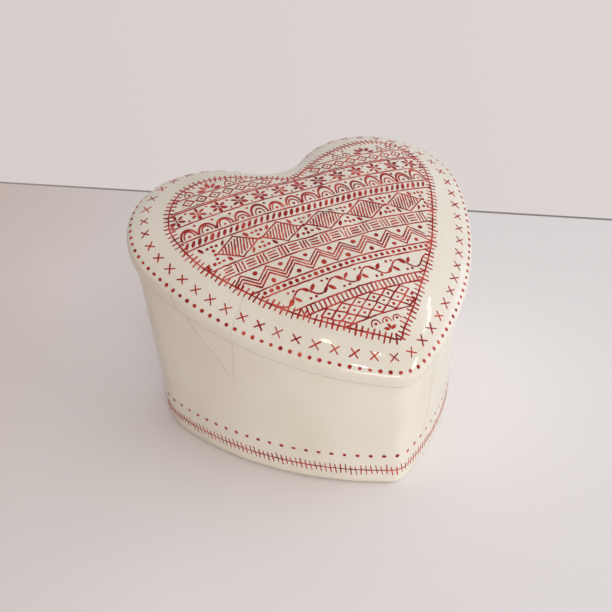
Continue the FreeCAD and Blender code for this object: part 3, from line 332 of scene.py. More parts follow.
def paint(marks, kind, spot, normal, along, length, width):
    """Lays one copy of a mark on the glaze along a direction, a little astray as by hand."""
    side = normal.cross(along).normalized()
    along = side.cross(normal)
    wobble = Matrix.Rotation(math.radians(hand.gauss(0, STRAY_DEGREES)), 3, normal)
    along = wobble @ along * length * hand.uniform(*STRAY_LENGTH)
    side = wobble @ side * width * hand.uniform(*STRAY_WIDTH)
    mark = bpy.data.objects.new(kind, masters[kind].data.copy())
    mark.matrix_world = Matrix.Translation(spot) @ Matrix((along, side, normal)).transposed().to_4x4()
    bpy.context.scene.collection.objects.link(mark)
    marks.append(mark)


def skin_of(piece):
    """A piece's surface, for finding where a touch of the brush lands on it."""
    return BVHTree.FromObject(piece, bpy.context.evaluated_depsgraph_get())


def contour(skin, middle, up, drop=0.0):
    """The line round the outside of a piece at one level, as points half a degree apart.

    A drop lets it sink towards the back, by that much where it is lowest.
    """
    ahead = up.cross(Vector((1, 0, 0)))
    loop = []
    for step in range(720):
        turn = math.radians(step / 2)
        outward = Vector((math.cos(turn), 0, 0)) + ahead * math.sin(turn)
        level = middle - up * drop * max(0.0, math.sin(turn)) ** 2
        loop.append(skin.ray_cast(level + outward * WELL_OUTSIDE, -outward)[0])
    return loop


def evenly(loop, pitch):
    """(point, direction) pairs at even distances round a closed loop, near a pitch."""
    ends = loop[1:] + loop[:1]
    total = sum((end - start).length for start, end in zip(loop, ends))
    step = total / max(1, round(total / pitch))
    found = []
    ahead = step / 2
    for start, end in zip(loop, ends):
        run = end - start
        while ahead < run.length:
            found.append((start + run.normalized() * ahead, run.normalized()))
            ahead += step
        ahead -= run.length
    return found


def settle(marks, surface, name, body):
    """Joins marks into one painted layer that follows the glaze, a hair proud of it."""
    pick_only(*marks)
    bpy.ops.object.join()
    layer = bpy.context.object
    layer.name = name
    bpy.ops.object.transform_apply(location=True, rotation=True, scale=True)
    wrap = layer.modifiers.new("wrap", "SHRINKWRAP")
    wrap.target = surface
    wrap.wrap_mode = "ABOVE_SURFACE"
    wrap.offset = COAT_PROUD
    skin = layer.modifiers.new("skin", "SOLIDIFY")
    skin.thickness = COAT_THICKNESS
    skin.offset = -1
    for modifier in ("wrap", "skin"):
        bpy.ops.object.modifier_apply(modifier=modifier)
    bpy.ops.object.shade_smooth_by_angle(angle=math.radians(COAT_SHARP_DEGREES))
    dress(layer, red, body)
    return layer


def normal_at(skin, spot):
    """The way a skin faces at a place on it."""
    return skin.find_nearest(spot)[1]


red = underglaze_red()
base_skin = skin_of(base)
base_marks = []
foot_line = contour(base_skin, Vector((0, HEART_MIDDLE, FOOT_LINE_HEIGHT)), Vector((0, 0, 1)))
for spot, along in evenly(foot_line, FOOT_LINE_PITCH):
    paint(base_marks, "stroke", spot, normal_at(base_skin, spot), along, *FOOT_LINE_STROKE)
for spot, along in evenly(foot_line, FOOT_STITCH_PITCH):
    normal = normal_at(base_skin, spot)
    up = normal.cross(along)
    lift = up * hand.gauss(0, STRAY_STITCH)
    paint(base_marks, "stroke", spot + lift, normal, up - along * FOOT_STITCH_SLANT, *FOOT_STITCH_STROKE)
foot_dots = contour(base_skin, Vector((0, HEART_MIDDLE, FOOT_DOT_HEIGHT)), Vector((0, 0, 1)))
for spot, along in evenly(foot_dots, FOOT_DOT_PITCH):
    paint(base_marks, "dot", spot, normal_at(base_skin, spot), along, *FOOT_DOT_SIZE)
settle(base_marks, base, "base_ornament", "base")


# ---------------------------------------------------------------- lid
# The lid is cast the same way: a low dome over a short side, with a flange under it that drops
# inside the base's rim. Its edge stands a little proud of the base all round.

LID_HEIGHT = RIM_LEVEL / UP_FROM_LID.z
LID_SHARP_DEGREES = 40
SHOULDER_RINGS = 12
SHOULDER_LOW = 1.0 * MM
SHOULDER_HIGH = 9.5 * MM
SHOULDER_TURNED_IN = -0.2


def lift_of(spot):
    """How far a place is above the sloping plane where lid and base meet."""
    return spot.dot(UP_FROM_LID) - RIM_LEVEL


lid = welded_copy("lid_shell", "glazed_lid", LID_SHARP_DEGREES)
pick_only(lid)
bpy.ops.object.mode_set(mode="EDIT")
for ring in range(SHOULDER_RINGS):
    lift = SHOULDER_LOW + (SHOULDER_HIGH - SHOULDER_LOW) * ring / (SHOULDER_RINGS - 1)
    bpy.ops.mesh.select_all(action="SELECT")
    bpy.ops.mesh.bisect(plane_co=Vector((0, 0, LID_HEIGHT)) + UP_FROM_LID * lift, plane_no=UP_FROM_LID)
bpy.ops.object.mode_set(mode="OBJECT")


def on_shoulder(vertex):
    """Whether a vertex is on the outside of the lid, between its lip and its dome."""
    outward = vertex.co - Vector((0, HEART_MIDDLE, vertex.co.z))
    faces_out = vertex.normal.dot(outward) > SHOULDER_TURNED_IN * vertex.co.length
    return SHOULDER_LOW < lift_of(vertex.co) < SHOULDER_HIGH and faces_out


# The glaze runs softly over the shoulder, from the side to the dome.
pick_vertices(lid, on_shoulder)
bpy.ops.mesh.vertices_smooth(factor=0.5, repeat=8)
bpy.ops.object.mode_set(mode="OBJECT")
bpy.ops.object.shade_smooth_by_angle(angle=math.radians(LID_SHARP_DEGREES))
dress(lid, glaze, "lid")


# ---------------------------------------------------------------- lid ornament
# Two rows follow the lid's edge, dots outside and crosses inside, and sink a little at the back.
# A stitched line then draws a smaller heart, and bands of plain traditional motifs fill it.

DOT_ROW_LIFT = 5.8 * MM
DOT_ROW_PITCH = 3.0 * MM
DOT_SIZE = (1.25 * MM, 1.15 * MM)
CROSS_ROW_LIFT = 7.7 * MM
CROSS_ROW_PITCH = 5.9 * MM
CROSS_ARM = (3.8 * MM, 0.44 * MM)
BACK_DROP = 1.9 * MM
ABOVE_LID = 30 * MM
ACROSS_LID = Vector((1, 0, 0))
ALONG_LID = UP_FROM_LID.cross(ACROSS_LID)

lid_skin = skin_of(lid)
lid_marks = []


def edge_row(lift, pitch):
    """(place, direction the glaze faces, direction of the row) for marks round the lid's edge."""
    level = Vector((0, 0, LID_HEIGHT)) + UP_FROM_LID * lift + ALONG_LID * HEART_MIDDLE
    for spot, along in evenly(contour(lid_skin, level, UP_FROM_LID, BACK_DROP), pitch):
        yield spot, normal_at(lid_skin, spot), along


for spot, normal, along in edge_row(DOT_ROW_LIFT, DOT_ROW_PITCH):
    paint(lid_marks, "dot", spot, normal, along, *DOT_SIZE)
for spot, normal, along in edge_row(CROSS_ROW_LIFT, CROSS_ROW_PITCH):
    side = normal.cross(along)
    for arm in (along + side, along - side):
        paint(lid_marks, "stroke", spot, normal, arm, *CROSS_ARM)


def smooth_loop(knots, steps):
    """A closed curve through a few places, as a Catmull-Rom spline."""
    loop = []
    for number, start in enumerate(knots):
        before, end, after = (knots[(number + step) % len(knots)] for step in (-1, 1, 2))
        for step in range(steps):
            t = step / steps
            loop.append(0.5 * (2 * start + (end - before) * t
                               + (2 * before - 5 * start + 4 * end - after) * t**2
                               + (3 * start - before - 3 * end + after) * t**3))
    return loop


# The stitched heart in millimetres across and along the lid, from its tip up the right side and
# back down the left, as a hand draws it.
PEN = 0.5
PANEL_LINE = (2.5, PEN)
PANEL_STITCH = (3.6, 0.52)
PANEL_LINE_PITCH = 2.0
PANEL_LINE_ROOM = 0.4
PANEL_STITCH_PITCH = 1.75
PANEL_STITCH_STRAY = 0.2
PANEL_HALF_WIDTH = 46
STROKE_PITCH = 2.2
STROKE_OVERLAP = 1.2
PANEL_KNOTS = ((1.0, -40.8), (4.2, -38.0), (14.0, -28.6), (28.5, -12.3), (37.8, 2.1), (44.4, 14.5),
               (47.9, 26.0), (46.6, 37.0), (38.5, 44.2), (27.9, 44.5), (17.1, 41.4), (8.0, 37.0),
               (0.0, 32.6), (-8.0, 36.8), (-17.5, 41.0), (-28.0, 43.0), (-37.5, 40.0), (-44.0, 32.0),
               (-46.6, 22.0), (-43.2, 7.0), (-35.4, -6.9), (-26.0, -19.4), (-15.3, -29.2), (-4.6, -37.4))
panel = smooth_loop([Vector(knot) for knot in PANEL_KNOTS], 8)


def room_inside(spot):
    """Distance from a place in the panel to its edge in millimetres, or -1 outside it."""
    inside = False
    for start, end in zip(panel, panel[1:] + panel[:1]):
        if (start.y > spot.y) != (end.y > spot.y):
            crossing = start.x + (spot.y - start.y) / (end.y - start.y) * (end.x - start.x)
            inside ^= spot.x < crossing
    return min((point - spot).length for point in panel) if inside else -1.0


def draw(kind, x, y, degrees, length, width):
    """One mark on the lid at a place in its plane, all in millimetres."""
    start = Vector((0, 0, LID_HEIGHT)) + ACROSS_LID * x * MM + ALONG_LID * y * MM
    spot, normal = lid_skin.ray_cast(start + UP_FROM_LID * ABOVE_LID, -UP_FROM_LID)[:2]
    turn = math.radians(degrees)
    along = ACROSS_LID * math.cos(turn) + ALONG_LID * math.sin(turn)
    paint(lid_marks, kind, spot, normal, along, length * MM, width * MM)


def line(points, width=PEN):
    """A pen line through places in the plane, broken off at the panel's edge."""
    for start, end in zip(points, points[1:]):
        run = end - start
        count = max(1, round(run.length / STROKE_PITCH))
        for part in range(count):
            middle = start + run * ((part + 0.5) / count)
            if room_inside(middle) > PANEL_LINE_ROOM:
                draw("stroke", middle.x, middle.y, math.degrees(math.atan2(run.y, run.x)),
                     run.length / count * STROKE_OVERLAP, width)


def along_band(y, pitch, margin):
    """Places at a pitch along a level line, symmetric about the middle, with room round them."""
    count = int(PANEL_HALF_WIDTH / pitch)
    places = [pitch * number for number in range(-count, count + 1)]
    return [x for x in places if room_inside(Vector((x, y))) > margin]


for spot, along in evenly(panel, PANEL_LINE_PITCH):
    degrees = math.degrees(math.atan2(along.y, along.x))
    draw("stroke", spot.x, spot.y, degrees, *PANEL_LINE)
for spot, along in evenly(panel, PANEL_STITCH_PITCH):
    degrees = math.degrees(math.atan2(along.y, along.x)) + 90
    shift = along.orthogonal() * hand.gauss(0, PANEL_STITCH_STRAY)
    draw("stroke", spot.x + shift.x, spot.y + shift.y, degrees, *PANEL_STITCH)


def draw_inside(kind, x, y, degrees, length, width):
    """One mark, left out where the panel has no room for it."""
    if room_inside(Vector((x, y))) > length / 2:
        draw(kind, x, y, degrees, length, width)


def lozenge(x, y, half_width, half_height):
    """Four pen lines round a place."""
    corners = [Vector((x - half_width, y)), Vector((x, y + half_height)),
               Vector((x + half_width, y)), Vector((x, y - half_height))]
    line(corners + corners[:1])


def dot(x, y, width=1.0):
    """One dot, a little longer than it is wide."""
    if room_inside(Vector((x, y))) > width:
        draw("dot", x, y, 0, width * 1.05, width)


def spray(x, y, reach, directions, length, width):
    """Leaves laid out from one place, each pointing away from it."""
    for degrees in directions:
        turn = math.radians(degrees)
        middle = Vector((x + reach * math.cos(turn), y + reach * math.sin(turn)))
        if room_inside(middle) > length * 0.55:
            draw("leaf", middle.x, middle.y, degrees, length, width)


# Rules part the bands, all the way from the lobes to the tip.
for row in (36.4, 31.2, 30.4, 24.3, 17.4, 13.6, 3.0, -1.6, -10.0, -12.7, -20.6, -23.6, -31.6):
    line([Vector((-48, row)), Vector((48, row))])

# The lobes' tops hold a spray of leaves each, with small arches and dots on both sides.
LOBE_ROW = 36.8
for lobe in (-28.0, 30.5):
    spray(lobe, LOBE_ROW, 2.9, (15, 52, 90, 128, 165), 3.3, 1.3)
    for step in (-10.9, -7.1, 7.1, 10.9):
        draw_inside("arch", lobe + step, LOBE_ROW + 0.2, 0, 3.4, 4.8)
        dot(lobe + step, LOBE_ROW + 0.8, 1.0)
        dot(lobe + step, LOBE_ROW + 3.8, 1.0)

# Small lozenges with a dot in each, and smaller dots between them.
LOZENGE_ROW = 33.8
LOZENGE_PITCH = 4.6
for x in along_band(LOZENGE_ROW, LOZENGE_PITCH, 1.4):
    lozenge(x, LOZENGE_ROW, 1.9, 1.7)
    dot(x, LOZENGE_ROW, 0.7)
    dot(x + LOZENGE_PITCH / 2, LOZENGE_ROW - 1.8, 0.5)

# Rosettes of six leaves round a dot, with two dots between each two.
ROSETTE_ROW = 27.3
ROSETTE_PITCH = 7.2
for x in along_band(ROSETTE_ROW, ROSETTE_PITCH, 2.4):
    spray(x, ROSETTE_ROW, 1.75, range(30, 390, 60), 2.6, 1.15)
    dot(x, ROSETTE_ROW, 0.8)
    for lift in (-1.9, 1.9):
        dot(x + ROSETTE_PITCH / 2, ROSETTE_ROW + lift, 0.75)

# Scallops drawn twice round a dot, with a dot in each gap above them.
SCALLOP_ROW = 18.2
SCALLOP_PITCH = 6.0
for x in along_band(SCALLOP_ROW + 1.0, SCALLOP_PITCH, 3.4):
    draw("arch", x, SCALLOP_ROW, 0, 5.8, 9.6)
    draw("arch", x, SCALLOP_ROW, 0, 3.7, 5.9)
    dot(x, SCALLOP_ROW + 0.7, 1.0)
    dot(x + SCALLOP_PITCH / 2, SCALLOP_ROW + 4.4, 0.95)

# A twisted rope of slanting leaves.
ROPE_ROW = 15.5
for x in along_band(ROPE_ROW, 2.1, 1.2):
    draw("leaf", x, ROPE_ROW, 58, 3.5, 1.1)

# The widest band has large hatched lozenges, with a cluster of dots in each gap and four leaves
# along each lozenge's sides.
HATCH_ROW = 8.3
HATCH_PITCH = 15.0
CLUSTER = ((0, 0), (0, 1.7), (0, -1.7), (-1.5, 3.2), (1.5, 3.2), (0, 3.4),
           (-1.5, -3.2), (1.5, -3.2), (0, -3.4))
hatched = along_band(HATCH_ROW, HATCH_PITCH, 1.0)
for x in hatched:
    lozenge(x, HATCH_ROW, 6.8, 4.5)
    for step in range(-5, 6):
        middle = Vector((x + step, HATCH_ROW))
        reach = (6.2 - abs(step)) * 0.6
        slant = Vector((0.3, 1.0)) * reach
        line([middle - slant, middle + slant], 0.48)
for x in (-3 * HATCH_PITCH, *hatched):
    for along, lift in CLUSTER:
        dot(x + HATCH_PITCH / 2 + along, HATCH_ROW + lift, 1.1)
    for side in (-3.9, 3.9):
        for lift in (-3.4, 3.4):
            lean = -60 if side * lift > 0 else 60
            draw_inside("leaf", x + side, HATCH_ROW + lift, lean, 2.6, 1.0)

# A basket weave of upright and level strokes.
BASKET_ROW = 0.7
for number, x in enumerate(along_band(BASKET_ROW, 3.6, 2.0)):
    for step in (-1.1, 0.0, 1.1):
        if number % 2:
            draw("stroke", x + step, BASKET_ROW, 90, 3.5, PEN)
        else:
            draw("stroke", x, BASKET_ROW + step, 0, 3.2, PEN)

# Chevrons of three lines with a bead in each fold, and a row of beads under them.
CHEVRON_ROW = -9.2
CHEVRON_PITCH = 8.4
CHEVRON_RISE = 4.0
for x in along_band(CHEVRON_ROW + 3.4, CHEVRON_PITCH, 1.2):
    for lift in (0.0, 1.35, 2.7):
        low = CHEVRON_ROW + lift
        line([Vector((x - CHEVRON_PITCH / 2, low)), Vector((x, low + CHEVRON_RISE)),
              Vector((x + CHEVRON_PITCH / 2, low))])
    dot(x, CHEVRON_ROW + 0.9, 1.5)
    dot(x + CHEVRON_PITCH / 2, CHEVRON_ROW + 5.6, 1.5)
BEAD_ROW = -11.35
for x in along_band(BEAD_ROW, 2.1, 1.2):
    dot(x, BEAD_ROW, 1.3)

# A vine that waves from side to side, with two leaves and two dots in each bend.
VINE_ROW = -16.6
VINE_SWING = 2.0
VINE_BEND = 5.6
line([Vector((x, VINE_ROW + VINE_SWING * math.sin(x * math.pi / VINE_BEND))) for x in range(-40, 41)])
for number, x in enumerate(along_band(VINE_ROW, VINE_BEND, 3.0)):
    up = 1 if number % 2 else -1
    for degrees in (50, 130):
        turn = math.radians(degrees * up)
        draw("leaf", x + 1.7 * math.cos(turn), VINE_ROW + 1.5 * math.sin(turn), degrees * up, 3.0, 1.25)
    for step in (-0.9, 0.9):
        dot(x + step, VINE_ROW - 2.2 * up, 0.9)

# A ladder, a net of lozenges, small arches and a last spray in the tip.
LADDER_ROW = -22.1
NET_ROW = -27.6
NET_PITCH = 5.0
ARCH_ROW = -34.8
TIP_ROW = -37.4
for x in along_band(LADDER_ROW, 1.45, 1.0):
    draw("stroke", x, LADDER_ROW, 90, 2.7, PEN)
for x in along_band(NET_ROW, NET_PITCH, 1.6):
    for lift in (-1.9, 1.9):
        lozenge(x, NET_ROW + lift, 2.4, 1.8)
        dot(x, NET_ROW + lift, 0.95)
    dot(x + NET_PITCH / 2, NET_ROW, 0.9)
for x in along_band(ARCH_ROW + 0.4, 3.6, 2.4):
    draw("arch", x, ARCH_ROW, 0, 3.4, 4.6)
    dot(x, ARCH_ROW + 0.6, 0.9)
spray(0, TIP_ROW, 1.3, (30, 90, 150), 2.2, 1.0)
settle(lid_marks, lid, "lid_ornament", "lid")
for master in masters.values():
    bpy.data.objects.remove(master)


# ---------------------------------------------------------------- felt liner
# Crimson wool felt, die-cut to the tray's heart round the movement's cover and laid on the floor
# with a little glue. Its cut edge is soft, and its fibres lie every way.

FELT_DARK = "6E0F18"
FELT_LIGHT = "96202A"
FELT_FIBRE = 0.9 * MM
FELT_NAP = 0.3 * MM
FELT_GRAIN = 0.45 * MM
FELT_LUMP = 3 * MM
FELT_LUMP_HEIGHT = 0.2 * MM


def wool_felt():
    """Pressed wool: matt, with a soft bloom at a low angle and a fleck of lighter fibres."""
    material = new_material("pressed_wool_felt")
    place = add_node(material, "ShaderNodeTexCoord")
    fibres = add_node(material, "ShaderNodeTexNoise", [("Vector", place, "Object")],
                      [("Scale", 1 / FELT_FIBRE), ("Detail", 6.0), ("Roughness", 0.75),
                       ("Distortion", 1.6)])
    colour = add_ramp(material, fibres, "Fac", [(0.36, FELT_DARK), (0.66, FELT_LIGHT)])
    nap = add_node(material, "ShaderNodeBump", [("Height", fibres, "Fac")],
                   [("Strength", 0.7), ("Distance", FELT_NAP)])
    shader = add_node(material, "ShaderNodeBsdfPrincipled",
                      [("Base Color", colour, "Color"), ("Normal", nap, "Normal")],
                      [("Roughness", 0.95), ("Sheen Weight", 0.35), ("Sheen Roughness", 0.5),
                       ("Specular IOR Level", 0.2)])
    add_node(material, "ShaderNodeOutputMaterial", [("Surface", shader, "BSDF")])
    return material


felt = welded_copy("felt_liner", "felt_lining", sharp_degrees=60)
even = felt.modifiers.new("even", "REMESH")
even.mode = "VOXEL"
even.voxel_size = FELT_GRAIN
clouds = bpy.data.textures.new("felt_lumps", "CLOUDS")
clouds.noise_scale = FELT_LUMP
lumps = felt.modifiers.new("lumps", "DISPLACE")
lumps.texture = clouds
lumps.strength = FELT_LUMP_HEIGHT
pick_only(felt)
for modifier in ("even", "lumps"):
    bpy.ops.object.modifier_apply(modifier=modifier)
bpy.ops.object.shade_smooth()
dress(felt, wool_felt(), "base")


# ---------------------------------------------------------------- bedplate
# The movement stands on one die-cast zinc plate. It comes from the die with a fine sandy skin and
# is left unplated, so it is a dull grey with darker clouds.

PART_SHARP_DEGREES = 32
CLOUD_SIZE = 6 * MM
GRAIN_DEPTH = 0.05 * MM


def metal(name, bright, dull, gloss, grain, relief=0.0):
    """A bare metal: two shades, a roughness from gloss to twice that, and a grain.

    The grain is the size of its marks along x, y and z in millimetres. Unequal ones give the
    lines that rolling, turning or brushing leaves, and equal ones the skin of a casting.
    """
    material = new_material(name)
    place = add_node(material, "ShaderNodeTexCoord")
    spread = add_node(material, "ShaderNodeMapping", [("Vector", place, "Object")],
                      [("Scale", [1 / (size * MM) for size in grain])])
    lines = add_node(material, "ShaderNodeTexNoise", [("Vector", spread, "Vector")],
                     [("Scale", 1.0), ("Detail", 4.0), ("Roughness", 0.6)])
    clouds = add_node(material, "ShaderNodeTexNoise", [("Vector", place, "Object")],
                      [("Scale", 1 / CLOUD_SIZE), ("Detail", 3.0)])
    both = add_node(material, "ShaderNodeMath", [(0, lines, "Fac"), (1, clouds, "Fac")],
                    operation="MULTIPLY")
    colour = add_ramp(material, both, "Value", [(0.15, dull), (0.33, bright)])
    roughness = add_node(material, "ShaderNodeMapRange", [("Value", lines, "Fac")],
                         [("From Min", 0.3), ("From Max", 0.7), ("To Min", gloss * 2), ("To Max", gloss)])
    skin = add_node(material, "ShaderNodeBump", [("Height", lines, "Fac")],
                    [("Strength", 0.25 + relief), ("Distance", GRAIN_DEPTH)])
    shader = add_node(material, "ShaderNodeBsdfPrincipled",
                      [("Base Color", colour, "Color"), ("Roughness", roughness, "Result"),
                       ("Normal", skin, "Normal")], [("Metallic", 1.0)])
    add_node(material, "ShaderNodeOutputMaterial", [("Surface", shader, "BSDF")])
    return material


def finish_parts(material, *nodes, sharp_degrees=PART_SHARP_DEGREES):
    """Shows each node as its own welded surface in a finish, on its own body."""
    for node in nodes:
        piece = welded_copy(node, node + "_surface", sharp_degrees)
        dress(piece, material, frame["nodes"][node]["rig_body"])


# As cast: the marks are as long as they are wide, about half a millimetre.
cast_zinc = metal("die_cast_zinc", "A9A8A4", "85847F", 0.32, (0.5, 0.5, 0.5), relief=0.4)
finish_parts(cast_zinc, "bedplate")


# ---------------------------------------------------------------- screws and washers
# Steel machine screws, turned and left bright, clamp the movement to the floor from below through
# black rubber washers that keep the glaze from chipping and the sound from rattling.

# Turned steel: rings so fine that they only spread the highlight a little.
turned_steel = metal("turned_bright_steel", "C4C5C8", "9FA1A5", 0.16, (0.15, 0.15, 2.5))
finish_parts(turned_steel, "mounting_screws", "movement_screws", "winding_arbor", "lever_screw",
             "endstone_cap")

RUBBER = "1B1A19"
RUBBER_BLOOM = "2E2C2A"
BLOOM_SIZE = 1.5 * MM


def moulded_rubber():
    """Moulded black rubber: dark and dull, with a grey bloom."""
    material = new_material("moulded_black_rubber")
    place = add_node(material, "ShaderNodeTexCoord")
    bloom = add_node(material, "ShaderNodeTexNoise", [("Vector", place, "Object")],
                     [("Scale", 1 / BLOOM_SIZE), ("Detail", 3.0)])
    colour = add_ramp(material, bloom, "Fac", [(0.4, RUBBER), (0.7, RUBBER_BLOOM)])
    shader = add_node(material, "ShaderNodeBsdfPrincipled", [("Base Color", colour, "Color")],
                      [("Roughness", 0.7)])
    add_node(material, "ShaderNodeOutputMaterial", [("Surface", shader, "BSDF")])
    return material


finish_parts(moulded_rubber(), "mounting_washers")


# ---------------------------------------------------------------- spring housing and great wheel
# The mainspring lies coiled in a drawn brass drum. The great wheel above it is stamped and hobbed
# brass, and a small wrapped clutch spring lets it turn one way only.

# Rolled brass: long faint lines from the mill, and a warm clear reflection.
rolled_brass = metal("rolled_brass", "DDBF7E", "BE9C58", 0.14, (4.0, 0.2, 0.2))
finish_parts(rolled_brass, "spring_housing", "great_wheel", "cylinder_wheel", "governor_frame",
             "lever_post")

# Hardened and tempered strip: a cool grey with a little straw and blue in it.
spring_steel = metal("tempered_spring_steel", "A8ABB0", "7F838A", 0.2, (0.2, 3.0, 0.2))
finish_parts(spring_steel, "mainspring", "clutch_spring")


# ---------------------------------------------------------------- cylinder
# A brass tube turned smooth and set with rows of steel pins, pressed on a steel shaft
# with the brass pinion and wheel that drive it and that it drives.

# Turned brass: the tool's rings run round the tube, so the marks are short along its axis.
turned_brass = metal("turned_brass", "DDBB6E", "BC9850", 0.14, (0.12, 2.0, 2.0))
finish_parts(turned_brass, "pinned_cylinder", "cylinder_pinion", sharp_degrees=28)
finish_parts(turned_steel, "cylinder_shaft")


# ---------------------------------------------------------------- bearing bracket
# A foot and an upright bent from one plated steel strip, screwed to the bedplate. It carries the
# cylinder's free end.

# Rolled and plated steel strip: bright, with faint lines along the strip.
rolled_steel = metal("plated_steel_strip", "C2C3C4", "A2A3A5", 0.2, (0.25, 3.0, 3.0))
finish_parts(rolled_steel, "bearing_bracket")


# ---------------------------------------------------------------- comb
# One plate of spring steel, slit into eighteen teeth, ground and hardened, with lead weights
# soldered under the bass teeth.

# Ground steel: fine lines straight across the teeth from the wheel.
ground_steel = metal("ground_spring_steel", "B4B7BB", "8C9096", 0.18, (3.0, 0.15, 0.3))
finish_parts(ground_steel, "comb")
# Cast and tuned lead: soft, dark and nearly matt.
cast_lead = metal("soft_lead", "7C7E82", "5C5E62", 0.3, (0.4, 0.4, 0.4), relief=0.3)
finish_parts(cast_lead, "bass_weights")


# ---------------------------------------------------------------- governor
# A brass frame holds the last two arbors. A moulded nylon worm wheel drives the steel worm, and a
# nylon fly on it beats the air to hold the speed.

NYLON = "E9E5DA"
NYLON_FLOW = "DDD8CB"
NYLON_FLOW_SIZE = 3 * MM
NYLON_DEPTH = 1 * MM


def moulded_nylon():
    """Moulded natural nylon: milky, half gloss, with light that goes a little way in."""
    material = new_material("moulded_natural_nylon")
    place = add_node(material, "ShaderNodeTexCoord")
    flow = add_node(material, "ShaderNodeTexNoise", [("Vector", place, "Object")],
                    [("Scale", 1 / NYLON_FLOW_SIZE), ("Detail", 2.0)])
    colour = add_ramp(material, flow, "Fac", [(0.35, NYLON), (0.7, NYLON_FLOW)])
    shader = add_node(material, "ShaderNodeBsdfPrincipled", [("Base Color", colour, "Color")],
                      [("Roughness", 0.35), ("IOR", 1.53), ("Subsurface Weight", 0.2),
                       ("Subsurface Scale", NYLON_DEPTH)])
    add_node(material, "ShaderNodeOutputMaterial", [("Surface", shader, "BSDF")])
    return material


finish_parts(moulded_nylon(), "worm_wheel", "fly")
finish_parts(turned_steel, "governor_pinion", "governor_shaft", "worm_shaft")


# ---------------------------------------------------------------- stop lever
# Stamped steel on a brass post: moved by a finger, its end stands in the fly's way and stops the
# tune.

finish_parts(rolled_steel, "stop_lever")


# ---------------------------------------------------------------- winding key
# A brass key, stamped and polished, with two eyes for the fingers. Its hub screws on the arbor in
# the recess under the floor.

# Polished brass: the rolling lines are nearly gone, and fine handling marks are left.
polished_brass = metal("polished_brass", "DEC283", "C3A35E", 0.1, (0.8, 0.8, 0.8))
finish_parts(polished_brass, "winding_key")


# ---------------------------------------------------------------- dust cover
# One clear injection-moulded shell over the movement. It shows the comb and cylinder at work and
# keeps trinkets out of them.

COVER_FLOW_SIZE = 12 * MM
COVER_FLOW_DEPTH = 0.3 * MM
COVER_SCRATCH = (4 * MM, 0.4 * MM, 0.4 * MM)
COVER_SCRATCH_TURN = 0.6


def clear_polystyrene():
    """Clear moulded polystyrene: glass-like, with faint flow waves and a few fine scratches."""
    material = new_material("clear_polystyrene")
    place = add_node(material, "ShaderNodeTexCoord")
    flow = add_node(material, "ShaderNodeTexNoise", [("Vector", place, "Object")],
                    [("Scale", 1 / COVER_FLOW_SIZE), ("Detail", 1.0)])
    waves = add_node(material, "ShaderNodeBump", [("Height", flow, "Fac")],
                     [("Strength", 0.04), ("Distance", COVER_FLOW_DEPTH)])
    stretched = add_node(material, "ShaderNodeMapping", [("Vector", place, "Object")],
                         [("Scale", [1 / size for size in COVER_SCRATCH]),
                          ("Rotation", (0, 0, COVER_SCRATCH_TURN))])
    scratches = add_node(material, "ShaderNodeTexNoise", [("Vector", stretched, "Vector")],
                         [("Scale", 1.0), ("Detail", 3.0)])
    roughness = add_node(material, "ShaderNodeMapRange", [("Value", scratches, "Fac")],
                         [("From Min", 0.6), ("From Max", 0.75), ("To Min", 0.0), ("To Max", 0.04)])
    shader = add_node(material, "ShaderNodeBsdfPrincipled",
                      [("Roughness", roughness, "Result"), ("Normal", waves, "Normal")],
                      [("Base Color", linear("F6FAFA")), ("IOR", 1.59), ("Transmission Weight", 1.0),
                       ("Alpha", 0.2)])
    add_node(material, "ShaderNodeOutputMaterial", [("Surface", shader, "BSDF")])
    return material


finish_parts(clear_polystyrene(), "dust_cover")


# ---------------------------------------------------------------- table
# A pale laminate table top that ends a little behind the box, in front of a plain pale wall. Its
# colour is painted darker towards the room's dim side as painted shade, and a thin dark strip
# along its edge is painted shade where the table meets the wall.

# Painted shade and light: the table goes from the shaded colour on the room's dim side to the lit one.
TABLE_SHADED = "E0D0C7"
TABLE_LIT = "F9F7F8"
TABLE_EDGE = (Vector((-0.0736, 0.2684)), Vector((0.1832, 0.0614)))
TABLE_REACH = 3.0
TABLE_CLOUD_SIZE = 120 * MM
TABLE_CLOUD_SHARE = 0.05
TABLE_SLANT = (1.0, -0.6, 0.0)
SHADED_AT = -0.24
LIT_AT = -0.03
# Painted shade: a thin dark strip for the shade where the table's edge meets the wall.
EDGE_SHADE_DIM_SIDE = "A39E9B"
EDGE_SHADE_LIT_SIDE = "8E8A8A"
EDGE_SHADE_WIDTH = 2 * MM


def laminate(name, shaded, lit):
    """Pale laminate: even and half matt, with painted shade a little darker towards the room's dim side.
    """
    material = new_material(name)
    place = add_node(material, "ShaderNodeTexCoord")
    slant = add_node(material, "ShaderNodeVectorMath", [(0, place, "Object")],
                     [(1, TABLE_SLANT)], operation="DOT_PRODUCT")
    clouds = add_node(material, "ShaderNodeTexNoise", [("Vector", place, "Object")],
                      [("Scale", 1 / TABLE_CLOUD_SIZE), ("Detail", 2.0)])
    wander = add_node(material, "ShaderNodeMath", [(0, clouds, "Fac"), (2, slant, "Value")],
                      [(1, TABLE_CLOUD_SHARE)], operation="MULTIPLY_ADD")
    spread = add_node(material, "ShaderNodeMapRange", [("Value", wander, "Value")],
                      [("From Min", SHADED_AT), ("From Max", LIT_AT)])
    painted_shade_tone = add_ramp(material, spread, "Result", [(0.0, shaded), (1.0, lit)])
    shader = add_node(material, "ShaderNodeBsdfPrincipled", [("Base Color", painted_shade_tone, "Color")],
                      [("Roughness", 0.55)])
    add_node(material, "ShaderNodeOutputMaterial", [("Surface", shader, "BSDF")])
    return material


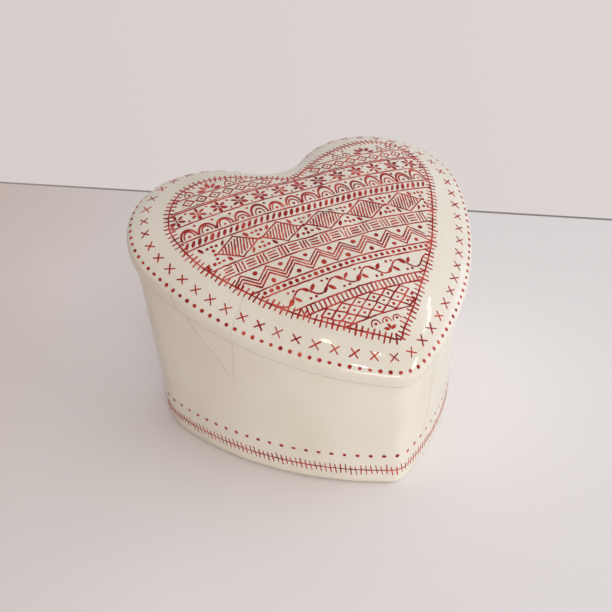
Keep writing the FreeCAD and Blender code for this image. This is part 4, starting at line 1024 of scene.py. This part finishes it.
def table_strip(name, near, far, shaded, lit):
    """A flat strip along the table's edge, from one distance behind that edge to another."""
    run = (TABLE_EDGE[1] - TABLE_EDGE[0]).normalized()
    middle = TABLE_EDGE[0] + Vector((-run.y, run.x)) * (near + far) / 2
    bpy.ops.mesh.primitive_plane_add(size=1, location=(middle.x, middle.y, 0),
                                     rotation=(0, 0, math.atan2(run.y, run.x)))
    strip = bpy.context.object
    strip.name = name
    strip.scale = (2 * TABLE_REACH, far - near, 1)
    bpy.ops.object.transform_apply(location=True, rotation=True, scale=True)
    strip.data.materials.append(laminate(name + "_laminate", shaded, lit))


table_strip("floor", -TABLE_REACH, 0.0, TABLE_SHADED, TABLE_LIT)
# The edge strip is painted shade, a dark sheet laid where the table meets the wall.
table_strip("floor_edge_shade", 0.0, EDGE_SHADE_WIDTH, EDGE_SHADE_DIM_SIDE, EDGE_SHADE_LIT_SIDE)


# ---------------------------------------------------------------- light
# A pale room all round, dimmer and warmer on the left, and two broad soft windows. Small bright
# panes and lamps beyond them are mirrored by the glaze as streaks and points.

WALL_LEFT = "D2CAC7"
WALL_RIGHT = "DFD7D4"
ROOM_DIM = "623A16"
ROOM_BRIGHT = "F3F2F4"
ROOM_LEVEL = 0.89

room = bpy.data.worlds.new("room")
bpy.context.scene.world = room
room.use_nodes = True
room.node_tree.nodes.clear()
gaze = add_node(room, "ShaderNodeTexCoord")
sides = add_node(room, "ShaderNodeSeparateXYZ", [("Vector", gaze, "Generated")])
across = add_node(room, "ShaderNodeMapRange", [("Value", sides, "X")],
                  [("From Min", -0.2), ("From Max", 0.8)])
wall = add_node(room, "ShaderNodeMix", [("Factor", across, "Result")],
                [("A", linear(WALL_LEFT)), ("B", linear(WALL_RIGHT))], data_type="RGBA")
seen = add_node(room, "ShaderNodeBackground", [("Color", wall, "Result")], [("Strength", 1.0)])
brighter = add_node(room, "ShaderNodeMapRange", [("Value", sides, "X")],
                    [("From Min", -0.9), ("From Max", 0.5)])
glow = add_node(room, "ShaderNodeMix", [("Factor", brighter, "Result")],
                [("A", linear(ROOM_DIM)), ("B", linear(ROOM_BRIGHT))], data_type="RGBA")
fill = add_node(room, "ShaderNodeBackground", [("Color", glow, "Result")],
                [("Strength", ROOM_LEVEL)])
ray = add_node(room, "ShaderNodeLightPath")
direct = add_node(room, "ShaderNodeMath", [(0, ray, "Is Camera Ray"), (1, ray, "Is Glossy Ray")],
                  operation="MAXIMUM")
clear = add_node(room, "ShaderNodeMath", [(0, direct, "Value"), (1, ray, "Is Transmission Ray")],
                 operation="MAXIMUM")
both = add_node(room, "ShaderNodeMixShader",
                [(0, clear, "Value"), (1, fill, "Background"), (2, seen, "Background")])
add_node(room, "ShaderNodeOutputWorld", [("Surface", both, "Shader")])


def window(azimuth, elevation, distance, width, height, watts, colour):
    """A soft lamp that faces the box, at degrees from the front towards the right and upwards."""
    turn, rise = math.radians(azimuth), math.radians(elevation)
    spot = Vector((math.sin(turn) * math.cos(rise), -math.cos(turn) * math.cos(rise), math.sin(rise)))
    bpy.ops.object.light_add(type="AREA", location=spot * distance)
    lamp = bpy.context.object
    lamp.rotation_euler = spot.to_track_quat("Z", "Y").to_euler()
    lamp.data.shape = "RECTANGLE"
    lamp.data.size = width
    lamp.data.size_y = height
    lamp.data.energy = watts
    lamp.data.color = linear(colour)[:3]


window(74, 17, 1.8, 1.2, 0.7, 3.3, "E6EEFF")
window(-14, 16, 1.8, 1.0, 0.6, 10.8, "FFFCF7")
window(44, 39, 1.6, 0.8, 0.12, 2.1, "FFFFFF")
window(80, 42, 1.6, 0.24, 0.03, 0.18, "FFFFFF")
window(-16, 50, 1.6, 0.12, 0.06, 0.9, "FFFFFF")
window(10, 66, 1.6, 0.03, 0.03, 0.16, "FFE2B4")
window(-13, 72, 1.6, 0.03, 0.03, 0.12, "FFE2B4")


# ---------------------------------------------------------------- camera
# A camera held by hand in front of the box and a little to its left, looking down on it. Its
# lens is slightly longer than a normal one.

CAMERA_SPOT = (-0.11293, -0.22869, 0.20882)
CAMERA_FORWARD = Vector((0.34564, 0.76657, -0.5412))
CAMERA_RIGHT = Vector((0.89827, -0.43707, -0.04538))
CAMERA_LENS = 52.99

camera_data = bpy.data.cameras.new("camera")
camera_data.sensor_width = 36
camera_data.lens = CAMERA_LENS
camera = bpy.data.objects.new("camera", camera_data)
bpy.context.scene.collection.objects.link(camera)
bpy.context.scene.camera = camera
forward = CAMERA_FORWARD.normalized()
up = CAMERA_RIGHT.cross(forward).normalized()
right = forward.cross(up)
camera.matrix_world = (Matrix.Translation(CAMERA_SPOT)
                       @ Matrix((right, up, -forward)).transposed().to_4x4())
bpy.context.scene.view_settings.view_transform = "Standard"
